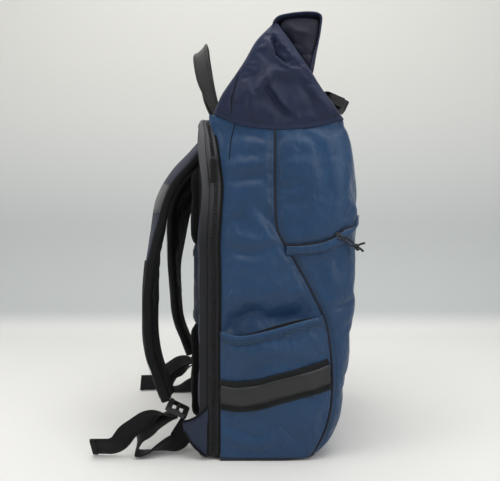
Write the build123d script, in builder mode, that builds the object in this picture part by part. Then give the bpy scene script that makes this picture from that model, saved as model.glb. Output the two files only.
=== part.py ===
from build123d import *
import math
import os

# A roll-top solar backpack, standing on its base. Millimetres, +Z up.
# X is the width, -Y is the front with the solar panel, +Y is the wearer's side.
# The origin is on the floor at the middle of the bag's width. "left" is the wearer's left, at -X.

# ---- driving dimensions: the bag body
bag_width = 290.0          # between the two side panels' outer faces
wall = 3.0                 # lined fabric with its foam
back_edge_y = 68.0         # where the side panels meet the zip gusset
front_top_y = -74.0        # front face at the collar's hem
front_belly_y = -88.0      # furthest point of the bulging front face
belly_z = 245.0            # height of the furthest point
front_foot_y = -64.0       # where the front face would meet the floor
toe_r = 52.0               # rounding of the bottom front corner
hem_z = 390.0              # top of the body, at the collar's hem
hem_sag = 12.0             # the hem hangs lower in the middle of the side
side_corner_r = 16.0       # rounding between the side and the front
base_height = 8.0          # the base panel reaches this far up the sides
gap = 0.3                  # clearance between faces that only touch

# ---- the seam between side and front panels, and the front pocket's zip line
seam_y = 6.0               # upper, upright stretch
seam_bend_z = 258.0
seam_low_y = -57.0         # lower, upright stretch
seam_low_z = 150.0
seam_toe_z = 66.0          # from here the seam runs down to the base's corner
seam_toe_y = -34.0
piping_width = 3.4
piping_proud = 1.6
zip_side_z = 240.0         # pocket zip where it starts at the seam
zip_turn_y = -66.0
zip_turn_z = 252.0
zip_front_z = 270.0        # pocket zip across the front face
zip_tape_width = 9.0
zip_tape_thick = 1.0

# ---- collar and rolled mouth
collar_wall = 2.5
crest_y = 3.0              # where the mouth folds over
crest_z = 494.0
roll_top_drop = -6.0       # the roll's top rises a little to the front
roll_depth = 48.0          # along the roll's top
roll_front_z = 442.0       # lower hem of the rolled mouth
roll_sheet = 3.0           # outer layers of the roll
roll_overhang = 3.0        # the roll is wider than the body, at each end
roll_end_inset = 7.0       # the layers inside stop short of the ends

# ---- zip gusset and back panel
gusset_depth = 14.0
gusset_wall = 3.0
gusset_corner_r = 34.0
gusset_top_z = 390.0
back_panel_thick = 8.0
pad_thick = 15.0
pad_width = 104.0
pad_centre_x = 68.0
pad_corner_r = 22.0
upper_pad_bottom_z = 240.0
upper_pad_top_z = 338.0
lower_pad_bottom_z = 34.0
lower_pad_top_z = 150.0
band_bottom_z = 156.0      # luggage sleeve across the back
band_top_z = 234.0
band_wall = 3.0
band_room = 7.0            # room for a trolley handle behind the sleeve
board_thick = 2.0

# ---- shoulder straps
strap_thick = 13.0
strap_width = 66.0
strap_root_x = 74.0        # middle of the strap at its root, from the bag's middle
strap_tail_x = 124.0       # and at its lower end
strap_tail_width = 36.0
strap_root_z = 365.0
strap_shoulder_y = 142.0   # where the strap turns down over the shoulder
strap_shoulder_z = 310.0
strap_far_y = 154.0        # how far the strap stands out behind the bag
strap_far_z = 208.0
strap_belly_y = 150.5
strap_belly_z = 124.0
strap_end_y = 129.0
strap_end_z = 65.0
facing_thick = 2.0         # fabric facing on the outer side of the pad
webbing = 25.0             # width of all narrow webbing
webbing_thick = 1.8
webbing_x = 132.4          # middle of the adjuster webbing, from the bag's middle
lock_length = 26.0
lock_width = 31.0
lock_thick = 5.0
lock_slot = 4.6
lock_slot_r = 1.5
lock_back = 11.0           # the lock sits this far in front of the strap's end
lock_drop = 12.0           # and this far below it
web_floor_z = 2.4          # middle of webbing that lies on the floor
web_fold_y = 166.0         # where the adjuster webbing folds back up to the lock
web_rise_y = 159.0
web_rise_z = 25.0
web_bow_y = 141.0
web_bow_z = 38.0
tail_fall_y = 172.0        # where the loose tail bends down to the floor
tail_end_y = 216.0
wing_tip_y = 110.0         # gusset wing that carries the adjuster webbing
wing_tip_z = 41.0
wing_top_z = 59.0
wing_thick = 1.8

# ---- pockets, reflective band, handle, closure, solar panel
pocket_stand = 9.0         # how far the side pocket stands out
pocket_fabric = 2.5
pocket_edge = 5.0
pocket_back_z = 142.0
pocket_front_z = 163.0
band_height = 34.0         # reflective band's webbing
tape_height = 21.0
band_back_z = 74.0         # middle of the band at its back end
band_front_z = 99.0
band_thick = 1.6
tape_thick = 0.5
handle_span = 110.0
handle_strip = 20.0
handle_thick = 4.0
handle_top_y = 101.0
handle_top_z = 518.0
handle_corner_r = 42.0
handle_foot_half = 1.6     # half the strip's width where it is sewn in
handle_neck = 62.0         # length over which the strip widens
clasp_length = 30.0
clasp_width = 32.0
clasp_half = 6.0           # thickness of each half
clasp_corner_r = 6.0
clasp_boss_r = 8.0
clasp_boss_height = 2.0
clasp_ahead = 2.0          # the clasp's rear edge stands this far ahead of the collar's hem
clasp_rise = 61.5          # and this far above it
clasp_tilt = 25.0          # degrees below level, pointing forwards
anchor_sewn_z = 362.0      # the anchor webbing is sewn down to here
solar_width = 186.0
solar_bottom_z = 92.0
solar_top_z = 248.0
solar_thick = 2.6
cell_columns = 2
cell_rows = 3
cell_gap = 3.0
cell_margin = 11.0
cell_thick = 0.4
eyelet_r = 5.0
eyelet_hole_r = 2.6

half_width = bag_width / 2
out_of_sight = 400.0       # longer than the bag, for tools that cut right through
os.makedirs("parts", exist_ok=True)


def save(part, name):
    """Label a finished sub-part and write its STEP file."""
    part.label = name
    export_step(part, f"parts/{name}.step")


def bag_outline(grow):
    """Side view of the bag body, grown by a skin's height, as a sketch at its right-hand end."""
    with BuildSketch(Plane.YZ.offset(half_width + grow)) as outline:
        with BuildLine():
            top_front = (front_top_y, hem_z)
            top_back = (back_edge_y, hem_z)
            Line((front_foot_y, 0), (back_edge_y, 0))
            Line((back_edge_y, 0), top_back)
            ThreePointArc(top_back, ((front_top_y + back_edge_y) / 2, hem_z - hem_sag), top_front)
            ThreePointArc(top_front, (front_belly_y, belly_z), (front_foot_y, 0))
        make_face()
        fillet(outline.vertices().group_by(Axis.Z)[0].sort_by(Axis.Y)[0], toe_r)
        if grow:
            offset(amount=grow, kind=Kind.INTERSECTION)
    return outline.sketch


def bag_solid(grow):
    """The whole bag body as a filled solid, grown outwards by a skin's height."""
    with BuildPart() as body:
        extrude(bag_outline(grow), amount=-2 * (half_width + grow))
        ends = body.faces().filter_by(Axis.X).edges()
        rounded = [e for e in ends if e.center().Y < front_top_y / 2 or e.center().Z < base_height / 2]
        fillet([e for e in rounded if e.center().Z < hem_z - hem_sag / 2], side_corner_r + grow)
    return body.part


def skin(low, high):
    """The layer of the bag's surface between two heights above it."""
    return bag_solid(high) - bag_solid(low)


def block(low, high):
    """A plain box between two corners, for cutting with."""
    size = Vector(*high) - Vector(*low)
    middle = (Vector(*high) + Vector(*low)) / 2
    return Pos(middle) * Box(*size, mode=Mode.PRIVATE)


def beside(side):
    """Everything on one side of the bag's middle plane: -1 is the wearer's left."""
    low_x, high_x = sorted((0, side * out_of_sight))
    return block((low_x, -out_of_sight, -out_of_sight), (high_x, out_of_sight, out_of_sight))


def across(*points):
    """A tool that is a polygon in side view and runs right through the bag's width."""
    with BuildPart() as tool:
        with BuildSketch(Plane.YZ.offset(-out_of_sight)):
            with BuildLine():
                Polyline(*points, close=True)
            make_face()
        extrude(amount=2 * out_of_sight)
    return tool.part


def ribbon(points, radii, thick, x_low, x_high, height=0):
    """Webbing that bends in side view, with its width along X, a little above its route if asked."""
    with BuildPart() as strip:
        with BuildLine(Plane.YZ) as path:
            FilletPolyline(*points, radius=radii)
        start = path.line @ 0
        with BuildSketch(Plane(origin=((x_low + x_high) / 2, start.Y, start.Z), x_dir=(1, 0, 0),
                               z_dir=path.line % 0)):
            with Locations((0, height)):
                Rectangle(x_high - x_low, thick)
        sweep()
    return strip.part


# ---- outer panels of the bag body, one shell cut along its seams
fabric = skin(-wall, 0)
seam = [(seam_y, out_of_sight), (seam_y, seam_bend_z), (seam_low_y, seam_low_z), (seam_low_y, seam_toe_z),
        (seam_toe_y, base_height)]
zip_line = [(seam_y, zip_side_z), (zip_turn_y, zip_turn_z), (front_belly_y, zip_front_z),
            (-out_of_sight, zip_front_z)]
front_region = across(*seam, (-out_of_sight, base_height), (-out_of_sight, out_of_sight))
above_zip = across(*zip_line, (-out_of_sight, out_of_sight), (seam_y, out_of_sight))
above_base = block((-out_of_sight, -out_of_sight, base_height), (out_of_sight, out_of_sight, out_of_sight))
below_base = block((-out_of_sight, -out_of_sight, -out_of_sight), (out_of_sight, out_of_sight, base_height))
below_zip = across(*zip_line, (-out_of_sight, 0), (seam_y, 0))
inner_x = half_width - wall
open_back = block((-inner_x, back_edge_y - 2 * wall, wall), (inner_x, back_edge_y + wall, out_of_sight))
open_top = block((-inner_x, front_top_y + wall, hem_z - 2 * hem_sag), (inner_x, back_edge_y + wall, out_of_sight))
bag_shell = fabric - open_back - open_top

for side, name in ((-1, "left"), (1, "right")):
    with BuildPart() as side_panel:
        add(bag_shell)
        add(front_region, mode=Mode.SUBTRACT)
        add(above_base, mode=Mode.INTERSECT)
        add(beside(side), mode=Mode.INTERSECT)
    save(side_panel.part, f"side_panel_{name}")

with BuildPart() as front_upper_panel:
    add(bag_shell)
    add(front_region, mode=Mode.INTERSECT)
    add(above_zip, mode=Mode.INTERSECT)
save(front_upper_panel.part, "front_upper_panel")

with BuildPart() as front_pocket_panel:
    add(bag_shell)
    add(front_region, mode=Mode.INTERSECT)
    add(below_zip, mode=Mode.INTERSECT)
save(front_pocket_panel.part, "front_pocket_panel")

with BuildPart() as base_panel:
    add(bag_shell)
    add(below_base, mode=Mode.INTERSECT)
save(base_panel.part, "base_panel")

# ---- piping on the two side seams, and the front pocket's zip
seam_band = across((seam_y - piping_width / 2, out_of_sight), (seam_y - piping_width / 2, seam_bend_z),
                   (seam_low_y - piping_width / 2, seam_low_z), (seam_low_y - piping_width / 2, seam_toe_z),
                   (seam_toe_y, base_height), (seam_toe_y + piping_width, base_height),
                   (seam_low_y + piping_width / 2, seam_toe_z), (seam_low_y + piping_width / 2, seam_low_z),
                   (seam_y + piping_width / 2, seam_bend_z), (seam_y + piping_width / 2, out_of_sight))
bead = skin(0, piping_proud)
below_hem = block((-out_of_sight, -out_of_sight, 0), (out_of_sight, out_of_sight, hem_z - hem_sag - 1))
near_sides = block((-out_of_sight, -out_of_sight, base_height), (-half_width / 2, out_of_sight, out_of_sight))
near_sides += block((half_width / 2, -out_of_sight, base_height), (out_of_sight, out_of_sight, out_of_sight))
save(bead & seam_band & below_hem & near_sides, "seam_piping")

zip_start_y = seam_y - piping_width / 2 - gap - 1
rise = zip_tape_width / 2
zip_band = across((zip_start_y, zip_side_z + rise), (zip_turn_y, zip_turn_z + rise),
                  (front_belly_y, zip_front_z + rise), (-out_of_sight, zip_front_z + rise),
                  (-out_of_sight, zip_front_z - rise), (front_belly_y, zip_front_z - rise),
                  (zip_turn_y, zip_turn_z - rise), (zip_start_y, zip_side_z - rise))
with BuildPart() as pocket_zip_tape:
    add(skin(0, zip_tape_thick))
    add(zip_band, mode=Mode.INTERSECT)
    add(front_region, mode=Mode.INTERSECT)
with BuildPart() as trimmed_tape:
    add(pocket_zip_tape.part)
    add(seam_band, mode=Mode.SUBTRACT)
save(trimmed_tape.part, "pocket_zip_tape")

# ---- collar: a tent of four panels that closes up to the crest
crest = Vector(0, crest_y, crest_z)
hem_back = Vector(0, back_edge_y - 2, hem_z)
hem_front = Vector(0, front_top_y + 2, hem_z)


def collar_sheet(foot, top, thick):
    """A sloping collar panel between the hem and the crest, as a side-view quadrilateral."""
    along = (top - foot).normalized()
    inward = Vector(0, -along.Z, along.Y)
    if (inward.Y > 0) != (foot.Y < crest_y):
        inward = -inward
    corners = [foot, top, top + inward * thick, foot + inward * thick]
    return [(c.Y, c.Z) for c in corners]


collar_half_x = half_width - 1
crest_slit = 0.5           # the two collar panels meet here
for foot, lean, name in ((hem_back, crest_slit, "back"), (hem_front, -crest_slit, "front")):
    top = crest + Vector(0, lean, 0)
    low_y, high_y = (top.Y, out_of_sight) if lean > 0 else (-out_of_sight, top.Y)
    beyond_crest = block((-out_of_sight, low_y, 0), (out_of_sight, high_y, 2 * out_of_sight))
    with BuildPart() as collar_panel:
        with BuildSketch(Plane.YZ.offset(-collar_half_x)):
            with BuildLine():
                Polyline(*collar_sheet(foot, top, collar_wall), close=True)
            make_face()
        extrude(amount=2 * collar_half_x)
        add(beyond_crest, mode=Mode.INTERSECT)
    save(collar_panel.part, f"collar_{name}")

with BuildPart() as collar_gussets:
    for start_x in (-collar_half_x, collar_half_x - collar_wall):
        with BuildSketch(Plane.YZ.offset(start_x)):
            with BuildLine():
                foot_back = (hem_back.Y - collar_wall - 1, hem_z)
                foot_front = (hem_front.Y + collar_wall + 1, hem_z)
                peak = (crest_y, crest_z - 2 * collar_wall)
                Polyline(foot_back, peak, foot_front)
                ThreePointArc(foot_front, ((foot_front[0] + foot_back[0]) / 2, hem_z - hem_sag + 1), foot_back)
            make_face()
        extrude(amount=collar_wall)
save(collar_gussets.part, "collar_gussets")

# ---- the rolled mouth: outer layers over a core of folded layers, hinged at the crest
slope = (crest - hem_front).normalized()
outward = Vector(0, -slope.Z, slope.Y)
seat = outward * (gap + 0.4)                       # the roll lies this far off the collar
heel = crest + seat - slope * 1.5
roll_back = Vector(0, crest_y - 3.5, crest_z + 5.5)
roll_nose = Vector(0, crest_y - roll_depth - 1, crest_z - roll_top_drop + 4)
roll_toe = hem_front + slope * ((roll_front_z - hem_z) / slope.Z) + seat
roll_half_x = half_width + roll_overhang
roll_outline = [heel, roll_back, roll_nose, roll_toe]


def yz(point):
    """A point's place in a side-view sketch."""
    return (point.Y, point.Z)


with BuildPart() as roll_filled:
    with BuildSketch(Plane.YZ.offset(-roll_half_x)):
        with BuildLine():
            Polyline(*[yz(p) for p in roll_outline], close=True)
        make_face()
    extrude(amount=2 * roll_half_x)
    nose_edge = roll_filled.edges().filter_by(Axis.X).sort_by(Axis.Y)[0]
    fillet(nose_edge, 6)
with BuildPart() as roll_hollow:
    with BuildSketch(Plane.YZ.offset(-roll_half_x)):
        with BuildLine():
                Polyline(yz(heel - slope * 2 * roll_sheet), yz(roll_back + Vector(0, -roll_sheet, -roll_sheet)),
                     yz(roll_nose + Vector(0, roll_sheet + 0.6, -roll_sheet)),
                     yz(roll_toe + Vector(0, roll_sheet + 0.2, -1)), close=True)
        make_face()
    extrude(amount=2 * roll_half_x)
with BuildPart() as roll_outer:
    add(roll_filled.part)
    add(roll_hollow.part, mode=Mode.SUBTRACT)
save(roll_outer.part, "roll_outer")

with BuildPart() as roll_core:                     # the mouth's folded layers, tucked inside the roll
    with BuildSketch(Plane.YZ.offset(-roll_half_x + roll_end_inset)):
        with BuildLine():
            core_back = roll_back + Vector(0, -2 * roll_sheet - 1, -roll_sheet - 2.5)
            core_nose = roll_nose + Vector(0, roll_sheet + 3.5, -roll_sheet - 2.5)
            core_toe = roll_toe + slope * 12
            Polyline(yz(heel - slope * 9 + outward * 0.3), yz(core_back), yz(core_nose), yz(core_toe), close=True)
        make_face()
    extrude(amount=2 * (roll_half_x - roll_end_inset))
save(roll_core.part, "roll_core")

stiffener_thick = 1.2
with BuildPart() as mouth_stiffener:               # the strip that keeps the rolled edge straight
    with BuildSketch(Plane.YZ.offset(-roll_half_x + 2 * roll_end_inset)):
        with BuildLine():
            strip_top = core_nose + Vector(0, -stiffener_thick - gap, -5)
            strip_foot = strip_top + (core_toe - core_nose).normalized() * 38
            Polyline(yz(strip_top), yz(strip_foot), yz(strip_foot + Vector(0, stiffener_thick, 0)),
                     yz(strip_top + Vector(0, stiffener_thick, 0)), close=True)
        make_face()
    extrude(amount=2 * (roll_half_x - 2 * roll_end_inset))
save(mouth_stiffener.part, "mouth_stiffener")

# ---- closure strap over the roll, with a press-together clasp in front
clasp_rear = Vector(0, front_top_y - clasp_ahead, hem_z + clasp_rise)
clasp_axis = Vector(0, -math.cos(math.radians(clasp_tilt)), -math.sin(math.radians(clasp_tilt)))
clasp_up = Vector(0, clasp_axis.Z, -clasp_axis.Y)
lift = clasp_up * (webbing_thick / 2 + gap)
roll_face = (roll_toe - roll_nose).normalized()
off_face = Vector(0, roll_face.Z, -roll_face.Y) * (webbing_thick / 2 + gap)
strap_route = [roll_back + Vector(0, 0, webbing_thick / 2 + gap), roll_nose + Vector(0, -1.5, 2.5),
               roll_toe - roll_face * 6 + off_face, clasp_rear - clasp_axis * 3 + lift,
               clasp_rear + clasp_axis * clasp_length / 2 + lift]
with BuildPart() as closure_strap:
    add(ribbon([yz(p) for p in strap_route], [7, 6, 9], webbing_thick, -webbing / 2, webbing / 2))
save(closure_strap.part, "closure_strap")

clasp_plane = Plane(origin=clasp_rear + clasp_axis * clasp_length / 2, x_dir=(1, 0, 0), z_dir=clasp_up)
with BuildPart() as clasp_upper:
    with BuildSketch(clasp_plane):
        RectangleRounded(clasp_width, clasp_length, clasp_corner_r)
    extrude(amount=-clasp_half)
    with BuildSketch(clasp_plane.offset(-clasp_half)):
        Circle(clasp_boss_r + gap)
    extrude(amount=clasp_boss_height + gap, mode=Mode.SUBTRACT)
save(clasp_upper.part, "clasp_upper")

lower_plane = clasp_plane.offset(-clasp_half - gap)
with BuildPart() as clasp_lower:
    with BuildSketch(lower_plane):
        RectangleRounded(clasp_width, clasp_length, clasp_corner_r)
    extrude(amount=-clasp_half)
    with BuildSketch(lower_plane):
        Circle(clasp_boss_r)
    extrude(amount=clasp_boss_height)
save(clasp_lower.part, "clasp_lower")

under = clasp_up * -(2 * clasp_half + 2 * gap + webbing_thick / 2)
anchor_route = [clasp_rear + clasp_axis * 22 + under, clasp_rear - clasp_axis * 2 + under,
                Vector(0, front_top_y - 0.5, hem_z + 25), Vector(0, front_top_y - 5.6, hem_z - 6),
                Vector(0, front_top_y - 7.6, anchor_sewn_z)]
with BuildPart() as closure_anchor:
    add(ribbon([yz(p) for p in anchor_route], [4, 12, 20], webbing_thick, -webbing / 2, webbing / 2))
save(closure_anchor.part, "closure_anchor")

# ---- grab handle: a loop of webbing that leans back and narrows at its two sewn ends
handle_foot = Vector(0, back_edge_y + 2.3, gusset_top_z + 0.8)
handle_tip = Vector(0, handle_top_y, handle_top_z)
handle_rise = (handle_tip - handle_foot).length
lean = (handle_tip - handle_foot).normalized()
handle_plane = Plane(origin=handle_foot, x_dir=(1, 0, 0), z_dir=Vector(0, -lean.Z, lean.Y))
with BuildPart() as grab_handle:
    with BuildSketch(handle_plane.offset(-handle_strip / 2)) as loop:
        with BuildLine():
            legs = FilletPolyline((-handle_span / 2, 0), (-handle_span / 2, handle_rise),
                                  (handle_span / 2, handle_rise), (handle_span / 2, 0), radius=handle_corner_r)
            offset(legs, amount=-handle_thick, side=Side.RIGHT, closed=True)
        make_face()
    extrude(amount=handle_strip)
    with BuildSketch(Plane.YZ.offset(-handle_span)):
        with BuildLine():
            neck = handle_foot + lean * handle_neck
            wide = Vector(0, handle_strip / 2 + 1, 0)
            Polyline(yz(handle_foot - Vector(0, handle_foot_half, 0)), yz(handle_foot + Vector(0, handle_foot_half, 0)),
                     yz(neck + wide), yz(neck + wide + lean * handle_rise), yz(neck - wide + lean * handle_rise),
                     yz(neck - wide), close=True)
        make_face()
    extrude(amount=2 * handle_span, mode=Mode.INTERSECT)
save(grab_handle.part, "grab_handle")

# ---- zip gusset: one ring on the bag, one on the back panel, which opens about its bottom edge
ring_bottom_z = wall


def back_outline(shrink, top_z):
    """The back opening's shape, seen from behind: square at the bottom, rounded at the top."""
    low, high = ring_bottom_z + shrink, top_z - shrink
    with BuildSketch(Plane.XZ) as outline:
        with Locations((0, (low + high) / 2)):
            Rectangle(bag_width - 2 * shrink, high - low)
        fillet(outline.vertices().group_by(Axis.Z)[-1], gusset_corner_r - shrink)
    return outline.sketch


def slab(outline, from_y, to_y):
    """Extrude a sketch seen from behind between two depths."""
    with BuildPart() as plate:
        extrude(outline.moved(Location((0, from_y, 0))), amount=to_y - from_y, dir=(0, 1, 0))
    return plate.part


gusset_split = back_edge_y + gusset_depth / 2
back_face_y = back_edge_y + gusset_depth
ring_outline = back_outline(0, gusset_top_z)
ring_hole = back_outline(gusset_wall, gusset_top_z)
for name, from_y, to_y in (("gusset_bag_side", back_edge_y, gusset_split - gap / 2),
                           ("gusset_back_side", gusset_split + gap / 2, back_face_y)):
    with BuildPart() as gusset:
        add(slab(ring_outline, from_y, to_y))
        add(slab(ring_hole, from_y, to_y), mode=Mode.SUBTRACT)
    save(gusset.part, name)

# ---- back panel: lining, stiff board, padded cover
lining_thick = 1.5
layers = [("back_lining", 0, lining_thick, 0), ("back_board", lining_thick, board_thick, 6.0),
          ("back_cover", lining_thick + board_thick, back_panel_thick - lining_thick - board_thick, 0)]
for name, start, thick, shrink in layers:
    with BuildPart() as layer:
        add(slab(back_outline(shrink, gusset_top_z), back_face_y + start, back_face_y + start + thick))
        if name == "back_cover":
            fillet(layer.faces().sort_by(Axis.Y)[-1].edges(), thick * 0.7)
    save(layer.part, name)
pad_face_y = back_face_y + back_panel_thick


def pad(low_z, high_z, side):
    """A mesh-covered foam pad on the back panel."""
    with BuildPart() as cushion:
        with BuildSketch(Plane.XZ.offset(-pad_face_y)):
            with Locations((side * pad_centre_x, (low_z + high_z) / 2)):
                RectangleRounded(pad_width, high_z - low_z, pad_corner_r)
        extrude(amount=-pad_thick)
        fillet(cushion.faces().sort_by(Axis.Y)[-1].edges(), pad_thick * 0.55)
    return cushion.part


for side, name in ((-1, "left"), (1, "right")):
    save(pad(upper_pad_bottom_z, upper_pad_top_z, side), f"upper_pad_{name}")
    save(pad(lower_pad_bottom_z, lower_pad_top_z, side), f"lower_pad_{name}")

# ---- sleeve across the back for a trolley handle, open above and below
band_half_x = pad_centre_x + pad_width / 2
with BuildPart() as luggage_sleeve:
    with BuildSketch(Plane.XY.offset(band_bottom_z)):
        with Locations((0, pad_face_y + (band_room + band_wall) / 2)):
            Rectangle(2 * band_half_x, band_room + band_wall)
        with Locations((0, pad_face_y + band_room / 2)):
            Rectangle(2 * (band_half_x - 22), band_room, mode=Mode.SUBTRACT)
    extrude(amount=band_top_z - band_bottom_z)
save(luggage_sleeve.part, "luggage_sleeve")

# ---- padded computer sleeve inside the bag, on the back panel's lining
sleeve_half_x = 124.0
sleeve_bottom_z = 22.0
sleeve_top_z = 262.0
sleeve_room = 15.0
sleeve_wall = 2.5
sleeve_floor_z = sleeve_bottom_z + sleeve_wall
with BuildPart() as laptop_sleeve:
    with BuildSketch(Plane.XY.offset(sleeve_bottom_z)):
        with Locations((0, back_face_y - (sleeve_room + sleeve_wall) / 2)):
            Rectangle(2 * sleeve_half_x, sleeve_room + sleeve_wall)
    extrude(amount=sleeve_top_z - sleeve_bottom_z)
    with BuildSketch(Plane.XY.offset(sleeve_floor_z)):
        with Locations((0, back_face_y - sleeve_room / 2)):
            Rectangle(2 * (sleeve_half_x - sleeve_wall), sleeve_room)
    extrude(amount=sleeve_top_z - sleeve_floor_z, mode=Mode.SUBTRACT)
save(laptop_sleeve.part, "laptop_sleeve")

# ---- shoulder straps: a curved padded band in side view, S-shaped from behind
strap_root = (pad_face_y + strap_thick * 0.38 + gap, strap_root_z)
strap_path = [strap_root, (strap_shoulder_y, strap_shoulder_z), (strap_far_y, strap_far_z),
              (strap_belly_y, strap_belly_z), (strap_end_y, strap_end_z)]
strap_radii = [95, 350, 150]


def strap_contour(side):
    """The strap seen from behind: wide over the shoulder, curving outwards, narrow at its lower end."""
    top, bottom = strap_root_z + strap_thick, strap_end_z - strap_thick
    middle_z = (top + bottom) / 2
    swing = strap_tail_x - strap_root_x
    edges = []
    with BuildSketch(Plane.XZ) as outline:
        with BuildLine():
            for edge in (-1, 1):
                root_x = strap_root_x + edge * strap_width / 2
                tail_x = strap_tail_x + edge * strap_tail_width / 2
                edges.append(Bezier((side * root_x, top), (side * (root_x - swing * 0.15), middle_z + 60),
                                    (side * (tail_x + edge * 8), middle_z - 20), (side * tail_x, bottom)))
            Line(edges[0] @ 0, edges[1] @ 0)
            Line(edges[0] @ 1, edges[1] @ 1)
        make_face()
    return outline.sketch


def strap_layer(side, low, high):
    """One layer of a strap, between two heights on its inner and outer side."""
    middle = (low + high) / 2
    band = ribbon(strap_path, strap_radii, high - low, side * strap_root_x - 120, side * strap_root_x + 120,
                  middle)
    return band & slab(strap_contour(side), 0, out_of_sight)


wing_x = half_width + gap
lock_middle = Vector(0, strap_end_y - lock_back, strap_end_z - lock_drop)
lock_axis = Vector(0, -0.90, -0.436)
lock_up = Vector(0, -lock_axis.Z, lock_axis.Y) * -1
under_lock = lock_thick / 2 + webbing_thick / 2 + gap
adjuster_route = [(wing_tip_y - 6, wing_tip_z - 6), (wing_tip_y + 8, 14), (web_fold_y - 16, web_floor_z),
                  (web_fold_y, web_floor_z), (web_rise_y, web_rise_z), (web_bow_y, web_bow_z), yz(lock_middle - lock_up * under_lock - lock_up * (webbing_thick + 2 * gap))]
adjuster_radii = [14, 20, 4, 8, 16]
tail_route = [yz(lock_middle - lock_up * under_lock), (tail_fall_y - 22, web_bow_z + 5), (tail_fall_y, web_rise_z + 1),
              (tail_fall_y + 8, web_floor_z), (tail_end_y, web_floor_z)]
tail_radii = [30, 10, 8]
for side, name in ((-1, "left"), (1, "right")):
    save(strap_layer(side, -strap_thick / 2, strap_thick / 2 - facing_thick), f"strap_pad_{name}")
    save(strap_layer(side, strap_thick / 2 - facing_thick, strap_thick / 2), f"strap_facing_{name}")

    lock_plane = Plane(origin=lock_middle + Vector(side * (webbing_x - 3), 0, 0), x_dir=(1, 0, 0),
                       z_dir=lock_up)
    with BuildPart() as ladder_lock:
        with BuildSketch(lock_plane.offset(-lock_thick / 2)):
            RectangleRounded(lock_width, lock_length, 4)
            with GridLocations(0, lock_length / 3, 1, 2):
                RectangleRounded(webbing + 2, lock_slot, lock_slot_r, mode=Mode.SUBTRACT)
        extrude(amount=lock_thick)
        with BuildSketch(lock_plane.offset(lock_thick / 2)):
            with Locations((0, lock_length / 2 - 3)):
                RectangleRounded(lock_width - 4, 4, 1.5)
        extrude(amount=1.6)
    save(ladder_lock.part, f"ladder_lock_{name}")

    low_x, high_x = sorted((side * (webbing_x - webbing / 2), side * (webbing_x + webbing / 2)))
    save(ribbon(adjuster_route, adjuster_radii, webbing_thick, low_x, high_x), f"adjuster_webbing_{name}")
    save(ribbon(tail_route, tail_radii, webbing_thick, low_x, high_x), f"adjuster_tail_{name}")

    with BuildPart() as strap_wing:
        with BuildSketch(Plane.YZ.offset(side * wing_x - (wing_thick if side < 0 else 0))):
            with BuildLine():
                Polyline((back_face_y, base_height), (back_face_y, wing_top_z), (wing_tip_y, wing_tip_z),
                         (wing_tip_y - 3, wing_tip_z - 9), (pad_face_y, 14), (pad_face_y, base_height), close=True)
            make_face()
        extrude(amount=wing_thick)
    save(strap_wing.part, f"strap_wing_{name}")

# ---- side pockets, and the reflective band sewn across each
pocket_skin = bag_solid(pocket_stand) - bag_solid(0)
pocket_inner = bag_solid(pocket_stand - pocket_fabric)
pocket_back_y = back_edge_y - 1
pocket_front_y = seam_low_y + piping_width / 2 + gap
hem_run = (pocket_front_z - seam_low_z) / (seam_bend_z - seam_low_z)
hem_front_y = pocket_front_y + (seam_y - seam_low_y) * hem_run + gap
pocket_region = across((pocket_back_y, base_height + 1), (pocket_back_y, pocket_back_z),
                       (hem_front_y, pocket_front_z), (pocket_front_y + gap, seam_low_z),
                       (pocket_front_y, seam_toe_z),
                       (seam_toe_y + piping_width + 5 * gap, base_height + 1))
pocket_cavity = across((pocket_back_y - pocket_edge, base_height + 1 + pocket_edge),
                       (pocket_back_y - pocket_edge, out_of_sight),
                       (hem_front_y + pocket_edge, out_of_sight), (hem_front_y + pocket_edge, pocket_front_z),
                       (pocket_front_y + pocket_edge, seam_low_z), (pocket_front_y + pocket_edge, seam_toe_z + 2),
                       (seam_toe_y + piping_width + pocket_edge, base_height + 1 + pocket_edge))


def band_strip(height, low, high):
    """A sloping strip across both side pockets, a given height tall, between two skins' heights."""
    half = height / 2
    strip = across((pocket_back_y, band_back_z - half), (pocket_back_y, band_back_z + half),
                   (pocket_front_y, band_front_z + half), (pocket_front_y, band_front_z - half))
    return (skin(low, high) & strip) - middle_of_bag


middle_of_bag = block((-half_width, -out_of_sight, -out_of_sight), (half_width, out_of_sight, out_of_sight))
band_layer = band_strip(band_height, pocket_stand, pocket_stand + band_thick)
tape_layer = band_strip(tape_height, pocket_stand + band_thick, pocket_stand + band_thick + tape_thick)
save(band_layer, "reflective_bands")
save(tape_layer, "reflective_tapes")
for side, name in ((-1, "left"), (1, "right")):
    half_space = beside(side)
    with BuildPart() as side_pocket:
        add(pocket_skin & pocket_region & half_space)
        add(pocket_inner & pocket_cavity & half_space, mode=Mode.SUBTRACT)
    save(side_pocket.part, f"side_pocket_{name}")

# ---- solar panel on the front pocket, with its cells, eyelets and charge socket
solar_box = block((-solar_width / 2, -out_of_sight, solar_bottom_z), (solar_width / 2, -40, solar_top_z))
eyelet_inset = 6.5
eyelet_places = [(x, z) for x in (-solar_width / 2 + eyelet_inset, solar_width / 2 - eyelet_inset)
                 for z in (solar_bottom_z + eyelet_inset, solar_top_z - eyelet_inset)]


def at_eyelets(radius):
    """Four rods along Y, one through each corner of the solar panel."""
    rods = [Pos(x, -60, z) * Rot(90, 0, 0) * Cylinder(radius, 80, mode=Mode.PRIVATE) for x, z in eyelet_places]
    return Part() + rods


with BuildPart() as solar_laminate:
    add(skin(0, solar_thick) & solar_box)
    add(at_eyelets(eyelet_r), mode=Mode.SUBTRACT)
save(solar_laminate.part, "solar_laminate")

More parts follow.
